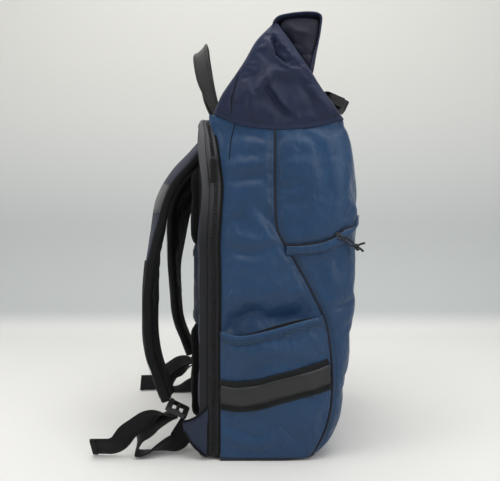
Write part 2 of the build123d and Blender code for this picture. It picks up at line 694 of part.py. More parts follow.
cell_width = (solar_width - 2 * cell_margin - (cell_columns - 1) * cell_gap) / cell_columns
cell_height = (solar_top_z - solar_bottom_z - 2 * cell_margin - (cell_rows - 1) * cell_gap) / cell_rows
cell_skin = skin(solar_thick, solar_thick + cell_thick)
cells = Part()
for column in range(cell_columns):
    for row in range(cell_rows):
        x = -solar_width / 2 + cell_margin + column * (cell_width + cell_gap)
        z = solar_bottom_z + cell_margin + row * (cell_height + cell_gap)
        cells += cell_skin & block((x, -out_of_sight, z), (x + cell_width, -40, z + cell_height))
save(cells, "solar_cells")

eyelet_ring = (skin(0, solar_thick + 1) & at_eyelets(eyelet_r)) - at_eyelets(eyelet_hole_r)
save(eyelet_ring, "solar_eyelets")

# ---- lining wall behind the front pocket, foam in the base, charge controller in the pocket
lining_y = -52.0
lining_wall = 1.5
with BuildPart() as pocket_lining:
    with BuildSketch(Plane.XZ.offset(-lining_y)):
        with Locations((0, (zip_side_z - 6 + wall) / 2 + wall / 2 + 4)):
            Rectangle(2 * inner_x - 2 * side_corner_r, zip_side_z - 22)
    extrude(amount=lining_wall)
save(pocket_lining.part, "pocket_lining")

foam_thick = 6.0
foam_half_x = inner_x - side_corner_r
foam_front_y = -10.0
foam_back_y = back_edge_y - 10
with BuildPart() as base_foam:
    with BuildSketch(Plane.XY.offset(wall)):
        with Locations((0, (foam_back_y + foam_front_y) / 2)):
            RectangleRounded(2 * foam_half_x, foam_back_y - foam_front_y, 12)
    extrude(amount=foam_thick)
save(base_foam.part, "base_foam")

box_width = 74.0
box_height = 40.0
box_depth = 13.0
box_z = 206.0
socket_width = 13.2
socket_height = 5.8
socket_depth = 9.0
box_front_y = lining_y - lining_wall
with BuildPart() as charge_controller:
    with BuildSketch(Plane.XZ.offset(-box_front_y)):
        with Locations((0, box_z)):
            RectangleRounded(box_width, box_height, 5)
    extrude(amount=box_depth)
    with BuildSketch(Plane.YZ.offset(box_width / 2)):
        with Locations((box_front_y - box_depth / 2, box_z)):
            Rectangle(socket_height, socket_width)
    extrude(amount=-socket_depth, mode=Mode.SUBTRACT)
save(charge_controller.part, "charge_controller")

# ---- zips: coil teeth on both rings of the gusset, sliders and pulls
chain_proud = 0.9
chain_width = 2.6
chain_gap = 0.15
chain_out = back_outline(-chain_proud, gusset_top_z)
for name, from_y, to_y in (("zip_chain_bag", gusset_split - chain_width, gusset_split - chain_gap),
                           ("zip_chain_back", gusset_split + chain_gap, gusset_split + chain_width)):
    with BuildPart() as zip_chain:
        add(slab(chain_out, from_y, to_y))
        add(slab(ring_outline, from_y, to_y), mode=Mode.SUBTRACT)
        add(block((-out_of_sight, -out_of_sight, ring_bottom_z + 8), (out_of_sight,) * 3), mode=Mode.INTERSECT)
    save(zip_chain.part, name)

slider_length = 11.0
slider_width = 8.0
slider_thick = 3.2
pull_length = 27.0
pull_width = 5.0
pull_thick = 2.0
back_slider_z = 336.0


def slider(side, base_x, y, z):
    """A zip slider on a side face: a waisted body with a low bridge that carries the pull."""
    with BuildPart() as body:
        with BuildSketch(Plane.YZ.offset(side * base_x - (0 if side > 0 else slider_thick))):
            with Locations((y, z)):
                RectangleRounded(slider_width, slider_length, 2.4)
            with Locations((y - slider_width / 2, z), (y + slider_width / 2, z)):
                Circle(1.1, mode=Mode.SUBTRACT)
        extrude(amount=slider_thick)
    return body.part


def pull(side, base_x, y, z, length, tilt):
    """A pull tab that hangs from the slider's bridge, as seen from the side."""
    low_x = side * base_x - (0 if side > 0 else pull_thick)
    with BuildPart() as tab:
        with BuildSketch(Plane.YZ.offset(low_x)):
            with Locations(Location((y, z), tilt)):
                with Locations((0, -length / 2 + pull_width / 2)):
                    SlotOverall(length, pull_width, rotation=90)
                Circle(pull_width * 0.22, mode=Mode.SUBTRACT)
        extrude(amount=pull_thick)
    return tab.part


chain_x = half_width + chain_proud + gap
for side, name in ((-1, "left"), (1, "right")):
    save(slider(side, chain_x, gusset_split, back_slider_z), f"back_slider_{name}")
    save(pull(side, chain_x + slider_thick + gap, gusset_split, back_slider_z, pull_length, 0),
         f"back_pull_{name}")

front_slider_y = zip_turn_y
front_slider_x = half_width + zip_tape_thick + gap
save(slider(-1, front_slider_x, front_slider_y, zip_turn_z), "pocket_slider")
cord_x = front_slider_x + slider_thick + gap
front_pull_tilt = -56.0
knot_reach = 24.0
with BuildPart() as pocket_pull:
    add(pull(-1, cord_x, front_slider_y, zip_turn_z, knot_reach, front_pull_tilt))
    knot_along = Vector(0, -math.sin(math.radians(-front_pull_tilt)), -math.cos(math.radians(front_pull_tilt)))
    knot_place = Vector(-cord_x - pull_thick / 2, front_slider_y, zip_turn_z) + knot_along * (knot_reach - 1)
    with Locations(knot_place):
        Sphere(4.0)
save(pocket_pull.part, "pocket_pull")
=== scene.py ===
import math
from math import cos, pi, sin, sqrt
import bmesh
import bpy
import numpy as np
from numpy import linspace
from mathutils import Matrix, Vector, noise
from mathutils.bvhtree import BVHTree


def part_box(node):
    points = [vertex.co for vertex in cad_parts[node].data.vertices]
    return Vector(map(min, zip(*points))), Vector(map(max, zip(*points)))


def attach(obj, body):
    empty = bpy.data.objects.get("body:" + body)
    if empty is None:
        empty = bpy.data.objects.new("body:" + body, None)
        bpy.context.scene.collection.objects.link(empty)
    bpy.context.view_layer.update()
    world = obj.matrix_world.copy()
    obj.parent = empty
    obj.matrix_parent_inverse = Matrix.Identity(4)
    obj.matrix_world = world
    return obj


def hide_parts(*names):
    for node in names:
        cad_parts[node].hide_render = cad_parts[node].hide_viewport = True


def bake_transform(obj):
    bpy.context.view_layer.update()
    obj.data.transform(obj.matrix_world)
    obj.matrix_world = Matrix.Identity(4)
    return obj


# The looks of a roll-top solar backpack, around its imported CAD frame. Metres, +Z up, -Y the front.
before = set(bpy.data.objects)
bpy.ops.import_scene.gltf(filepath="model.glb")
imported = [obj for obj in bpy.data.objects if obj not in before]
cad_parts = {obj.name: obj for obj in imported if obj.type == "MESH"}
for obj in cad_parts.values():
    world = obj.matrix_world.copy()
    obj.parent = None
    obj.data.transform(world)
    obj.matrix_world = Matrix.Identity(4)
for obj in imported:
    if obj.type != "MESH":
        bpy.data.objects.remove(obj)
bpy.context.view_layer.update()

BAG_HALF, BACK_Y, HEM_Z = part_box("side_panel_right")[1]
SIDES = ((-1, "left"), (1, "right"))


# -------- shader maths
class Sock:
    """A shader socket that takes part in Python expressions. Numbers and sockets mix freely."""

    def __init__(self, tree, link):
        self.tree = tree
        self.link = link

    def maths(operation, swapped=False):
        def apply(self, *others):
            values = (*others, self) if swapped else (self, *others)
            return Mat.node_in(self.tree, "ShaderNodeMath", {"operation": operation}, dict(enumerate(values)))
        return apply

    __add__ = __radd__ = maths("ADD")
    __sub__, __rsub__ = maths("SUBTRACT"), maths("SUBTRACT", True)
    __mul__ = __rmul__ = maths("MULTIPLY")
    __truediv__ = maths("DIVIDE")
    larger, smaller = maths("MAXIMUM"), maths("MINIMUM")
    fract, sine, absolute = maths("FRACT"), maths("SINE"), maths("ABSOLUTE")

    def clamped(self):
        return self.larger(0.0).smaller(1.0)

    def ramp(self, low, high, start=0.0, end=1.0):
        """A smooth step between two values of this socket."""
        return Mat.node_in(self.tree, "ShaderNodeMapRange", {"interpolation_type": "SMOOTHSTEP"},
                           {0: self, 1: low, 2: high, 3: start, 4: end})


class Mat:
    """A material in the making: one method for every node, and Python maths on what it returns."""

    def __init__(self, name):
        self.material = bpy.data.materials.new(name)
        self.material.use_nodes = True
        self.tree = self.material.node_tree
        self.shader = self.tree.nodes["Principled BSDF"]
        coordinates = self.tree.nodes.new("ShaderNodeTexCoord")
        self.object = Sock(self.tree, coordinates.outputs["Object"])
        self.uv = Sock(self.tree, coordinates.outputs["UV"])

    @staticmethod
    def node_in(tree, kind, settings, values, output=0):
        made = tree.nodes.new(kind)
        for key, value in settings.items():
            setattr(made, key, value)
        for key, value in values.items():
            if isinstance(value, Sock):
                tree.links.new(value.link, made.inputs[key])
            else:
                made.inputs[key].default_value = value
        return Sock(tree, made.outputs[output])

    def node(self, kind, settings=None, values=None, output=0):
        return Mat.node_in(self.tree, kind, settings or {}, values or {}, output)

    def split(self, vector):
        """The x, y and z of a vector."""
        return [self.node("ShaderNodeSeparateXYZ", {}, {0: vector}, axis) for axis in range(3)]

    def join(self, x, y, z):
        return self.node("ShaderNodeCombineXYZ", {}, {0: x, 1: y, 2: z})

    def scaled(self, vector, factors):
        return self.node("ShaderNodeVectorMath", {"operation": "MULTIPLY"}, {0: vector, 1: factors})

    def noise(self, vector, scale, detail=3.0, rough=0.5):
        return self.node("ShaderNodeTexNoise", {},
                         {"Vector": vector, "Scale": scale, "Detail": detail, "Roughness": rough})

    def mix(self, factor, one, two):
        """Two colours mixed by a mask."""
        return self.node("ShaderNodeMix", {"data_type": "RGBA"}, {0: factor, 6: one, 7: two}, 2)

    def bump(self, height, strength, distance, under=None):
        values = {"Height": height, "Strength": strength, "Distance": distance}
        if under is not None:
            values["Normal"] = under
        return self.node("ShaderNodeBump", {}, values)

    def feed(self, **inputs):
        """Set or link the shader's sockets, named with underscores for spaces."""
        for key, value in inputs.items():
            socket = self.shader.inputs[key.replace("_", " ")]
            if isinstance(value, Sock):
                self.tree.links.new(value.link, socket)
            else:
                socket.default_value = value
        return self.material


def rgb(red, green, blue):
    """A colour given in screen values 0-255, as linear RGBA."""
    linear = [(v / 255 / 12.92) if v / 255 <= 0.04045 else ((v / 255 + 0.055) / 1.055) ** 2.4
              for v in (red, green, blue)]
    return (*linear, 1.0)


def woven(name, dark, light, thread, sheen, rough, relief=1.0, slub=0.5, crumple=0.0, painted_top_light=None):
    """A plain woven cloth: threads over and under on the piece's own map, slubs and slow variation, painted highlights
    along its creases and, if asked, a painted paler top.
    """
    m = Mat(name)
    u, v, _ = m.split(m.uv)
    warp = (u * (pi / thread)).sine()
    weft = (v * (pi / thread)).sine()
    weave = (warp * weft) * 0.5 + 0.5
    streak = (m.noise(m.join(u * 60, v * 1400, 0.0), 1.0, 2.0) + m.noise(m.join(u * 1400, v * 60, 0.0), 1.0, 2.0)) * 0.5
    cloud = m.noise(m.object, 9.0, 4.0, 0.55)
    fine = m.noise(m.object, 160.0, 3.0, 0.6)
    tone = (streak * slub + cloud * 0.6 + fine * 0.15 - 0.22 + weave * 0.1).clamped()
    colour = m.mix(tone, dark, light)
    # painted highlight: from about 0.24 m up the cloth is mixed toward a paler tone, as if its top caught the light
    if painted_top_light:
        _, _, level = m.split(m.object)
        pale = m.mix(tone, painted_top_light, tuple(c * 1.5 for c in painted_top_light[:3]) + (1,))
        colour = m.mix(level.ramp(0.24, 0.37) * 0.8, colour, pale)
    height = weave * 0.5 + streak * 0.7
    normal = m.bump(height, 0.28 * relief, 0.0004)
    soft = m.bump(m.noise(m.object, 38.0, 4.0, 0.55), 0.25 * relief, 0.0022, normal)
    if crumple > 0:
        ridge = (m.noise(m.object, 17.0, 2.0, 0.45) - 0.5).absolute() * 2.0
        crossed = (m.noise(m.scaled(m.object, (1.0, 1.35, 0.8)), 31.0, 2.0, 0.5) - 0.5).absolute() * 2.0
        creases = ridge.ramp(0.0, 0.22) + crossed.ramp(0.0, 0.2) * 0.55
        soft = m.bump(creases, 0.55 * crumple, 0.0016, soft)
        # painted highlight: the crease lines are mixed toward the light colour
        colour = m.mix((1.0 - creases * 0.62).clamped() * 0.2 * crumple, colour, light)
    m.feed(Base_Color=colour, Roughness=(fine * 0.16 + (rough - 0.08)), Sheen_Weight=sheen,
           Sheen_Roughness=0.45, Normal=soft)
    m.shader.inputs["Specular IOR Level"].default_value = 0.35
    return m.material


def ribbed(name, dark, light, pitch, rough, sheen=0.25):
    """Webbing: ribs across its width, a herringbone twill and slow variation in tone."""
    m = Mat(name)
    u, v, _ = m.split(m.uv)
    ribs = (v * (2 * pi / pitch)).sine() * 0.5 + 0.5
    twill = ((u + v * 0.5) * (2 * pi / (pitch * 0.8))).sine() * 0.5 + 0.5
    dust = m.noise(m.object, 60.0, 4.0, 0.6)
    tone = (ribs * 0.35 + twill * 0.2 + dust * 0.6 - 0.2).clamped()
    normal = m.bump(ribs * 0.7 + twill * 0.3, 0.5, 0.0005)
    m.feed(Base_Color=m.mix(tone, dark, light), Roughness=dust * 0.15 + (rough - 0.07), Sheen_Weight=sheen,
           Sheen_Roughness=0.5, Normal=normal)
    m.shader.inputs["Specular IOR Level"].default_value = 0.18
    return m.material


def spacer_mesh(name, dark, light, cell, rough=0.85):
    """Three-layer air mesh: rows of open hexagonal eyes in a soft knit."""
    m = Mat(name)
    u, v, _ = m.split(m.uv)
    a = (u * (2 * pi / cell)).sine()
    b = ((u * 0.5 + v * 0.866) * (2 * pi / cell)).sine()
    c = ((u * 0.5 - v * 0.866) * (2 * pi / cell)).sine()
    eyes = ((a * b * c) * 1.3 + 0.5).clamped()
    knit = m.noise(m.object, 420.0, 2.0)
    cloud = m.noise(m.object, 14.0, 3.0)
    tone = (eyes * 0.55 + knit * 0.35 + cloud * 0.3 - 0.2).clamped()
    normal = m.bump(eyes + knit * 0.3, 0.7, 0.0009)
    m.feed(Base_Color=m.mix(tone, dark, light), Roughness=rough, Sheen_Weight=0.03, Normal=normal)
    m.shader.inputs["Specular IOR Level"].default_value = 0.1
    return m.material


def moulded(name, colour, rough=0.45, grain=0.35):
    """Moulded plastic or painted metal with fine grain, handling marks and paler worn spots."""
    m = Mat(name)
    grit = m.noise(m.object, 900.0, 2.0)
    marks = m.noise(m.scaled(m.object, (1.0, 1.0, 3.0)), 70.0, 5.0, 0.65)
    worn = marks.ramp(0.58, 0.75)
    pale = tuple(min(1.0, c * 2.2 + 0.01) for c in colour[:3]) + (1.0,)
    m.feed(Base_Color=m.mix(worn * 0.4, colour, pale), Roughness=marks * 0.2 + (rough - 0.1),
           Normal=m.bump(grit, grain, 0.0002))
    return m.material


# -------- finishes
BLUE = woven("blue_weave", rgb(8, 30, 55), rgb(31, 69, 106), 0.0009, 0.12, 0.44, 1.0, 0.75, crumple=0.8)
NAVY = woven("navy_weave", rgb(6, 14, 35), rgb(24, 39, 74), 0.0009, 0.08, 0.56, 0.9, 0.5, crumple=0.25)
# a darker copy of the navy cloth: painted shade for the roll's core and its recessed ends
NAVY_SHADED = woven("navy_inner_weave", rgb(2, 4, 17), rgb(8, 14, 42), 0.0009, 0.03, 0.62, 0.9, 0.5)
BACK_NAVY = woven("back_navy_weave", rgb(11, 20, 34), rgb(32, 46, 70), 0.0009, 0.1, 0.6)
TRIM = woven("base_trim_weave", rgb(12, 16, 24), rgb(30, 38, 50), 0.0009, 0.15, 0.6)
LINING = woven("lining_weave", rgb(58, 60, 64), rgb(86, 88, 92), 0.0008, 0.15, 0.7)
PIPING = woven("piping_weave", rgb(7, 12, 23), rgb(19, 29, 47), 0.0007, 0.08, 0.6)
# the zip tape is painted paler towards its top, as if lit from above
ZIP_TAPE = woven("zip_tape_weave", rgb(9, 10, 13), rgb(30, 31, 35), 0.0007, 0.05, 0.75, painted_top_light=rgb(84, 84, 87))
FACING = woven("strap_facing_weave", rgb(9, 13, 29), rgb(30, 37, 64), 0.0009, 0.04, 0.6)
WEBBING = ribbed("black_webbing", rgb(6, 6, 7), rgb(24, 24, 25), 0.0016, 0.72, 0.08)
HANDLE_WEB = ribbed("handle_webbing", rgb(30, 30, 30), rgb(78, 78, 76), 0.0015, 0.75)
BAND_WEB = ribbed("band_webbing", rgb(7, 9, 11), rgb(25, 28, 30), 0.0018, 0.7, 0.06)
BINDING = ribbed("edge_binding", rgb(4, 4, 5), rgb(14, 15, 17), 0.0012, 0.75, 0.03)
MESH = spacer_mesh("air_mesh", rgb(2, 2, 3), rgb(9, 10, 11), 0.0042)
PLASTIC = moulded("black_acetal", rgb(11, 12, 12))
METAL = moulded("gunmetal_paint", rgb(40, 40, 42), 0.35)
COIL = moulded("nylon_coil", rgb(16, 17, 19), 0.4)
THREAD = moulded("sewing_thread", rgb(40, 48, 66), 0.7)
DARK_THREAD = moulded("dark_thread", rgb(24, 25, 27), 0.7)
CORD = ribbed("pull_cord_braid", rgb(16, 17, 24), rgb(46, 48, 58), 0.0012, 0.65)


def tape_finish():
    """Grey glass-bead tape: fine beads and streaky scuffs."""
    m = Mat("reflective_tape_beads")
    beads = m.noise(m.object, 1400.0, 2.0)
    scuffs = m.noise(m.scaled(m.object, (1.0, 1.0, 5.0)), 45.0, 5.0, 0.65)
    tone = (beads * 0.35 + scuffs * 0.5).clamped()
    m.feed(Base_Color=m.mix(tone, rgb(17, 17, 18), rgb(38, 38, 39)), Roughness=scuffs * 0.2 + 0.42,
           Normal=m.bump(beads + scuffs * 0.6, 0.3, 0.0003))
    return m.material


TAPE = tape_finish()


# -------- mesh helpers
FRAMES = 20                    # how long each cloth settles


def linked(name, data):
    """An object for a mesh, lamp or camera, in the scene."""
    obj = bpy.data.objects.new(name, data)
    bpy.context.scene.collection.objects.link(obj)
    return obj


def make_object(name, verts, faces, uvs, material):
    """A smooth mesh object at the origin, with one UV pair for each vertex."""
    data = bpy.data.meshes.new(name)
    data.from_pydata([tuple(v) for v in verts], [], faces)
    data.update()
    layer = data.uv_layers.new(name="UVMap")
    indices = np.empty(len(data.loops), dtype=np.int32)
    data.loops.foreach_get("vertex_index", indices)
    layer.data.foreach_set("uv", np.asarray(uvs, dtype=np.float32)[indices].ravel())
    for polygon in data.polygons:
        polygon.use_smooth = True
    data.materials.append(material)
    return linked(name, data)


def path_length(points):
    """How far along a line each of its points is."""
    return np.concatenate([[0], np.cumsum(np.linalg.norm(np.diff(points, axis=0), axis=1))])


def row_length(grid):
    """How far along its own row each point of a grid is."""
    return np.concatenate([np.zeros((len(grid), 1)), np.cumsum(np.linalg.norm(np.diff(grid, axis=1), axis=2), axis=1)],
                          axis=1)


def evenly(points, count):
    """The same line with a number of evenly spaced points."""
    lengths = path_length(points)
    wanted = linspace(0, lengths[-1], count)
    return np.stack([np.interp(wanted, lengths, points[:, k]) for k in range(points.shape[1])], axis=1)


def unit(vectors):
    return vectors / np.linalg.norm(vectors, axis=1)[:, None]


def along(line):
    """The direction of a line at each of its points."""
    return unit(np.gradient(line, axis=0))


def beside(directions):
    """Flat directions turned a quarter to the left."""
    return np.stack([-directions[:, 1], directions[:, 0]], axis=1)


def crossed(u, v):
    """A map from the places across a grid and the places along it."""
    return np.stack(np.broadcast_arrays(u, v), axis=-1)


def grid_object(name, points, uv, material, close=False, flip=False):
    """A sheet from an array of points, rows by columns by 3, closed round its columns if asked."""
    rows, columns = points.shape[:2]
    faces = [(row * columns + column, row * columns + (column + 1) % columns,
              (row + 1) * columns + (column + 1) % columns, (row + 1) * columns + column)
             for row in range(rows - 1) for column in range(columns if close else columns - 1)]
    if flip:
        faces = [face[::-1] for face in faces]
    return make_object(name, points.reshape(-1, 3), faces, uv.reshape(-1, 2), material)


def spread(rows, columns, place):
    """A grid of points, each from a rule on where it is along and across."""
    return np.array([[place(t, s) for s in columns] for t in rows])


def flat_map(grid):
    """The map of a sheet that hangs across the bag: its own x and z."""
    return grid[:, :, (0, 2)]


def coords(obj, what="co"):
    """The mesh's vertices, or their normals, as an array."""
    flat = np.empty(len(obj.data.vertices) * 3, dtype=np.float64)
    obj.data.vertices.foreach_get(what, flat)
    return flat.reshape(-1, 3)


def set_coords(obj, points):
    obj.data.vertices.foreach_set("co", np.asarray(points, dtype=np.float64).ravel())
    obj.data.update()


def bake_modifiers(obj):
    """Replace the mesh by its evaluated shape and drop the modifiers."""
    evaluated = obj.evaluated_get(bpy.context.evaluated_depsgraph_get())
    mesh = bpy.data.meshes.new_from_object(evaluated)
    obj.modifiers.clear()
    obj.data = mesh
    return obj


def subdivided(obj, levels=1):
    modifier = obj.modifiers.new("Subdivision", "SUBSURF")
    modifier.levels = modifier.render_levels = levels
    return bake_modifiers(obj)


def thickened(obj, thickness, offset=-1.0):
    modifier = obj.modifiers.new("Solidify", "SOLIDIFY")
    modifier.thickness = thickness
    modifier.offset = offset
    return bake_modifiers(obj)


def joined(name, parts):
    """Several mesh objects as one."""
    builder = bmesh.new()
    materials = []
    for part in parts:
        start = len(builder.faces)
        builder.from_mesh(part.data)
        builder.faces.ensure_lookup_table()
        own = list(part.data.materials)
        for material in own:
            if material not in materials:
                materials.append(material)
        for face in builder.faces[start:]:
            face.material_index = materials.index(own[min(face.material_index, len(own) - 1)])
    mesh = bpy.data.meshes.new(name)
    builder.to_mesh(mesh)
    builder.free()
    for material in materials:
        mesh.materials.append(material)
    obj = linked(name, mesh)
    for part in parts:
        bpy.data.objects.remove(part)
    return obj


def smooth_line(points, count):
    """A Catmull-Rom curve through a few given points, evenly spaced."""
    points = np.asarray(points, dtype=float)
    padded = np.vstack([2 * points[0] - points[1], points, 2 * points[-1] - points[-2]])
    fine = []
    for i in range(1, len(padded) - 2):
        a, b, c, d = padded[i - 1:i + 3]
        for t in linspace(0, 1, 24, endpoint=False):
            fine.append(0.5 * ((2 * b) + (c - a) * t + (2 * a - 5 * b + 4 * c - d) * t * t
                               + (3 * b - a - 3 * c + d) * t ** 3))
    fine.append(points[-1])
    return evenly(np.array(fine), count)


def evened(values, reach):
    """Each value's average with its neighbours, so many to either side."""
    return np.convolve(np.pad(values, reach, mode="edge"), np.ones(2 * reach + 1) / (2 * reach + 1), mode="valid")


def step(value, low, high):
    """Smooth step from 0 at low to 1 at high."""
    t = np.clip((value - low) / (high - low), 0, 1)
    return t * t * (3 - 2 * t)


def rumple(points, scale, seed):
    """Repeatable soft noise at each point, about -1 to 1."""
    return np.array([noise.noise(Vector(p) * scale + Vector((seed, seed * 0.7, -seed))) for p in points]) * 1.8


def distance_to_line(points, line):
    """Shortest distance of each 2-D point to a polyline, and how far along it is (0 to 1)."""
    best = np.full(len(points), 1e9)
    share = np.zeros(len(points))
    lengths = path_length(line)
    for i in range(len(line) - 1):
        a, b = line[i], line[i + 1]
        t = np.clip(((points - a) @ (b - a)) / max(1e-12, (b - a) @ (b - a)), 0, 1)
        near = np.linalg.norm(points - (a + t[:, None] * (b - a)), axis=1)
        closer = near < best
        best[closer] = near[closer]
        share[closer] = (lengths[i] + t[closer] * (lengths[i + 1] - lengths[i])) / lengths[-1]
    return best, share


def fold(points, line, width, height):
    """A ridge, or a crease if its height is negative, along a line on a flat map, fading at its ends."""
    near, share = distance_to_line(points, np.asarray(line, dtype=float))
    fade = np.sin(np.clip(share, 0.02, 0.98) * pi) ** 0.5
    return height * np.exp(-(near / width) ** 2) * fade


def folded(relief, points, folds):
    """A relief with more folds on it, each given as its width, its height and its line."""
    for width, height, *line in folds:
        relief = relief + fold(points, line, width, height)
    return relief


def tuck(points, line, width, height):
    """A sharp fold: cloth stands up on the line's left side, drops at once on its right, and eases back."""
    line = np.asarray(line, dtype=float)
    near, share = distance_to_line(points, line)
    place, ahead, behind = (
        np.stack([np.interp(at, linspace(0, 1, len(line)), line[:, k]) for k in (0, 1)], axis=1)
        for at in (share, np.minimum(share + 0.03, 1), np.maximum(share - 0.03, 0)))
    way, off = ahead - behind, points - place
    left = way[:, 0] * off[:, 1] - way[:, 1] * off[:, 0] > 0
    fade = np.sin(np.clip(share, 0.02, 0.98) * pi) ** 0.6
    return height * fade * np.where(left, np.exp(-near / width), -0.8 * np.exp(-near / (width * 0.8)))


def simulated(obj, pins, pressure, shrink, cap, stiffness=14, bending=0.9):
    """Let the cloth buckle and settle, its sewn lines pinned and its travel capped, and keep the result."""
    start = coords(obj)
    group = obj.vertex_groups.new(name="sewn")
    for index, weight in enumerate(pins):
        if weight > 0.05:
            group.add([index], float(weight), "REPLACE")
    modifier = obj.modifiers.new("Cloth", "CLOTH")
    cloth = modifier.settings
    cloth.quality = 6
    cloth.mass = 0.25
    cloth.tension_stiffness = cloth.compression_stiffness = stiffness
    cloth.shear_stiffness = stiffness * 0.4
    cloth.bending_stiffness = bending
    cloth.tension_damping = cloth.compression_damping = 8
    cloth.air_damping = 3
    cloth.vertex_group_mass = "sewn"
    cloth.shrink_min = shrink
    cloth.use_pressure = pressure != 0
    cloth.uniform_pressure_force = pressure
    cloth.effector_weights.gravity = 0
    modifier.collision_settings.use_collision = False
    modifier.point_cache.frame_start = 1
    modifier.point_cache.frame_end = FRAMES
    scene = bpy.context.scene
    for number in range(1, FRAMES + 1):
        scene.frame_set(number)
    moved = coords(obj.evaluated_get(bpy.context.evaluated_depsgraph_get())) - start
    far = np.linalg.norm(moved, axis=1)
    moved *= np.minimum(1.0, cap / np.maximum(far, 1e-9))[:, None]
    obj.modifiers.clear()
    obj.vertex_groups.clear()
    scene.frame_set(1)
    set_coords(obj, start + moved)
    return obj


# -------- studio
lens = bpy.data.cameras.new("studio_camera")
lens.sensor_width = 36
lens.lens = 38.2
camera = linked("studio_camera", lens)
camera.location = -0.745, 0.034, 0.248
camera.rotation_euler = Vector((1, 0, 0)).to_track_quat("-Z", "Y").to_euler()
bpy.context.scene.camera = camera
bpy.context.scene.view_settings.view_transform = "Standard"


def backdrop():
    """A pale floor that sweeps up into a pale wall behind the bag."""
    flat_end, radius, wall = 0.62, 0.3, 2.4
    profile = [(-3.2, 0.0), (flat_end, 0.0)]
    profile += [(flat_end + radius * sin(a), radius - radius * cos(a))
                for a in linspace(0, pi / 2, 10)[1:]]
    profile += [(flat_end + radius, wall)]
    ys = linspace(-3.0, 3.0, 7)
    points = np.array([[(x, y, z - 0.0006) for y in ys] for x, z in profile])
    m = Mat("pale_studio_paper")
    cloud = m.noise(m.object, 1.3, 3.0)
    grain = m.noise(m.object, 260.0, 2.0)
    _, _, height = m.split(m.object)
    # painted shade: a grey band low on the wall, where the floor sweeps up
    foot = height.ramp(0.004, 0.05) * height.ramp(0.85, 0.2)
    paper_tone_and_wall_shade = m.mix(cloud * 0.7 + grain * 0.2, rgb(219, 218, 214), rgb(228, 227, 223))
    # painted shade: the wall darker than the floor from about 0.25 m up
    paper_tone_and_wall_shade = m.mix(height.ramp(0.25, 0.8), paper_tone_and_wall_shade, rgb(208, 207, 202))
    m.feed(Base_Color=m.mix(foot * 0.75, paper_tone_and_wall_shade, rgb(170, 175, 175)), Roughness=0.92,
           Normal=m.bump(grain, 0.05, 0.0004))
    grid_object("studio_paper", points, points[..., :2], m.material)


backdrop()


def lamp(name, place, target, size, watts, tint):
    data = bpy.data.lights.new(name, "AREA")
    data.shape = "RECTANGLE"
    data.size, data.size_y = size
    data.energy = watts
    data.color = tint
    obj = linked(name, data)
    obj.location = place
    obj.rotation_euler = (Vector(target) - Vector(place)).to_track_quat("-Z", "Y").to_euler()


lamp("top_light", (-0.25, 0.05, 1.75), (0.0, 0.0, 0.25), (1.7, 1.7), 25, (1.0, 0.99, 0.965))
lamp("front_light", (-1.15, -1.05, 1.05), (0.0, -0.02, 0.22), (1.0, 1.2), 9, (0.97, 0.985, 1.0))
lamp("back_light", (-0.7, 1.35, 0.95), (0.0, 0.05, 0.25), (0.8, 1.2), 6, (1.0, 0.99, 0.98))
world = bpy.data.worlds.new("soft_room")
bpy.context.scene.world = world
world.use_nodes = True
world.node_tree.nodes["Background"].inputs["Color"].default_value = (0.9, 0.93, 1.0, 1.0)
world.node_tree.nodes["Background"].inputs["Strength"].default_value = 0.42


# -------- repeated small things
def bead_tree():
    """Geometry nodes: one small rounded piece, repeated along a line at a pitch and laid with it."""
    tree = bpy.data.node_groups.new("beads_along_line", "GeometryNodeTree")
    face = tree.interface
    face.new_socket("Geometry", in_out="INPUT", socket_type="NodeSocketGeometry")
    for label, kind in (("Pitch", "Float"), ("Bead Size", "Vector"), ("Up", "Vector"), ("Bead Material", "Material")):
        face.new_socket(label, in_out="INPUT", socket_type="NodeSocket" + kind)
    face.new_socket("Geometry", in_out="OUTPUT", socket_type="NodeSocketGeometry")
    nodes = {word: tree.nodes.new(kind) for word, kind in (
        ("into", "NodeGroupInput"), ("curve", "GeometryNodeMeshToCurve"), ("sampled", "GeometryNodeResampleCurve"),
        ("bead", "GeometryNodeMeshIcoSphere"), ("shaped", "GeometryNodeTransform"),
        ("tangent", "GeometryNodeInputTangent"), ("turned", "FunctionNodeAlignRotationToVector"),
        ("raised", "FunctionNodeAlignRotationToVector"), ("placed", "GeometryNodeInstanceOnPoints"),
        ("real", "GeometryNodeRealizeInstances"), ("smooth", "GeometryNodeSetShadeSmooth"),
        ("coloured", "GeometryNodeSetMaterial"), ("out", "NodeGroupOutput"))}
    for item in nodes["sampled"].inputs:
        if item.type == "MENU":
            item.default_value = "Length"
    if hasattr(nodes["sampled"], "mode"):
        nodes["sampled"].mode = "LENGTH"
    nodes["bead"].inputs["Radius"].default_value = 0.5
    nodes["bead"].inputs["Subdivisions"].default_value = 2
    nodes["turned"].axis = "X"
    nodes["raised"].axis, nodes["raised"].pivot_axis = "Z", "X"
    for one, out, other, into in (
            ("into", "Geometry", "curve", 0), ("curve", 0, "sampled", 0), ("into", "Pitch", "sampled", "Length"),
            ("bead", "Mesh", "shaped", "Geometry"), ("into", "Bead Size", "shaped", "Scale"),
            ("tangent", 0, "turned", "Vector"), ("turned", 0, "raised", "Rotation"), ("into", "Up", "raised", "Vector"),
            ("sampled", 0, "placed", "Points"), ("shaped", 0, "placed", "Instance"),
            ("raised", 0, "placed", "Rotation"), ("placed", 0, "real", 0), ("real", 0, "smooth", 0),
            ("smooth", 0, "coloured", "Geometry"), ("into", "Bead Material", "coloured", "Material"),
            ("coloured", 0, "out", 0)):
        tree.links.new(nodes[one].outputs[out], nodes[other].inputs[into])
    return tree


BEADS = bead_tree()


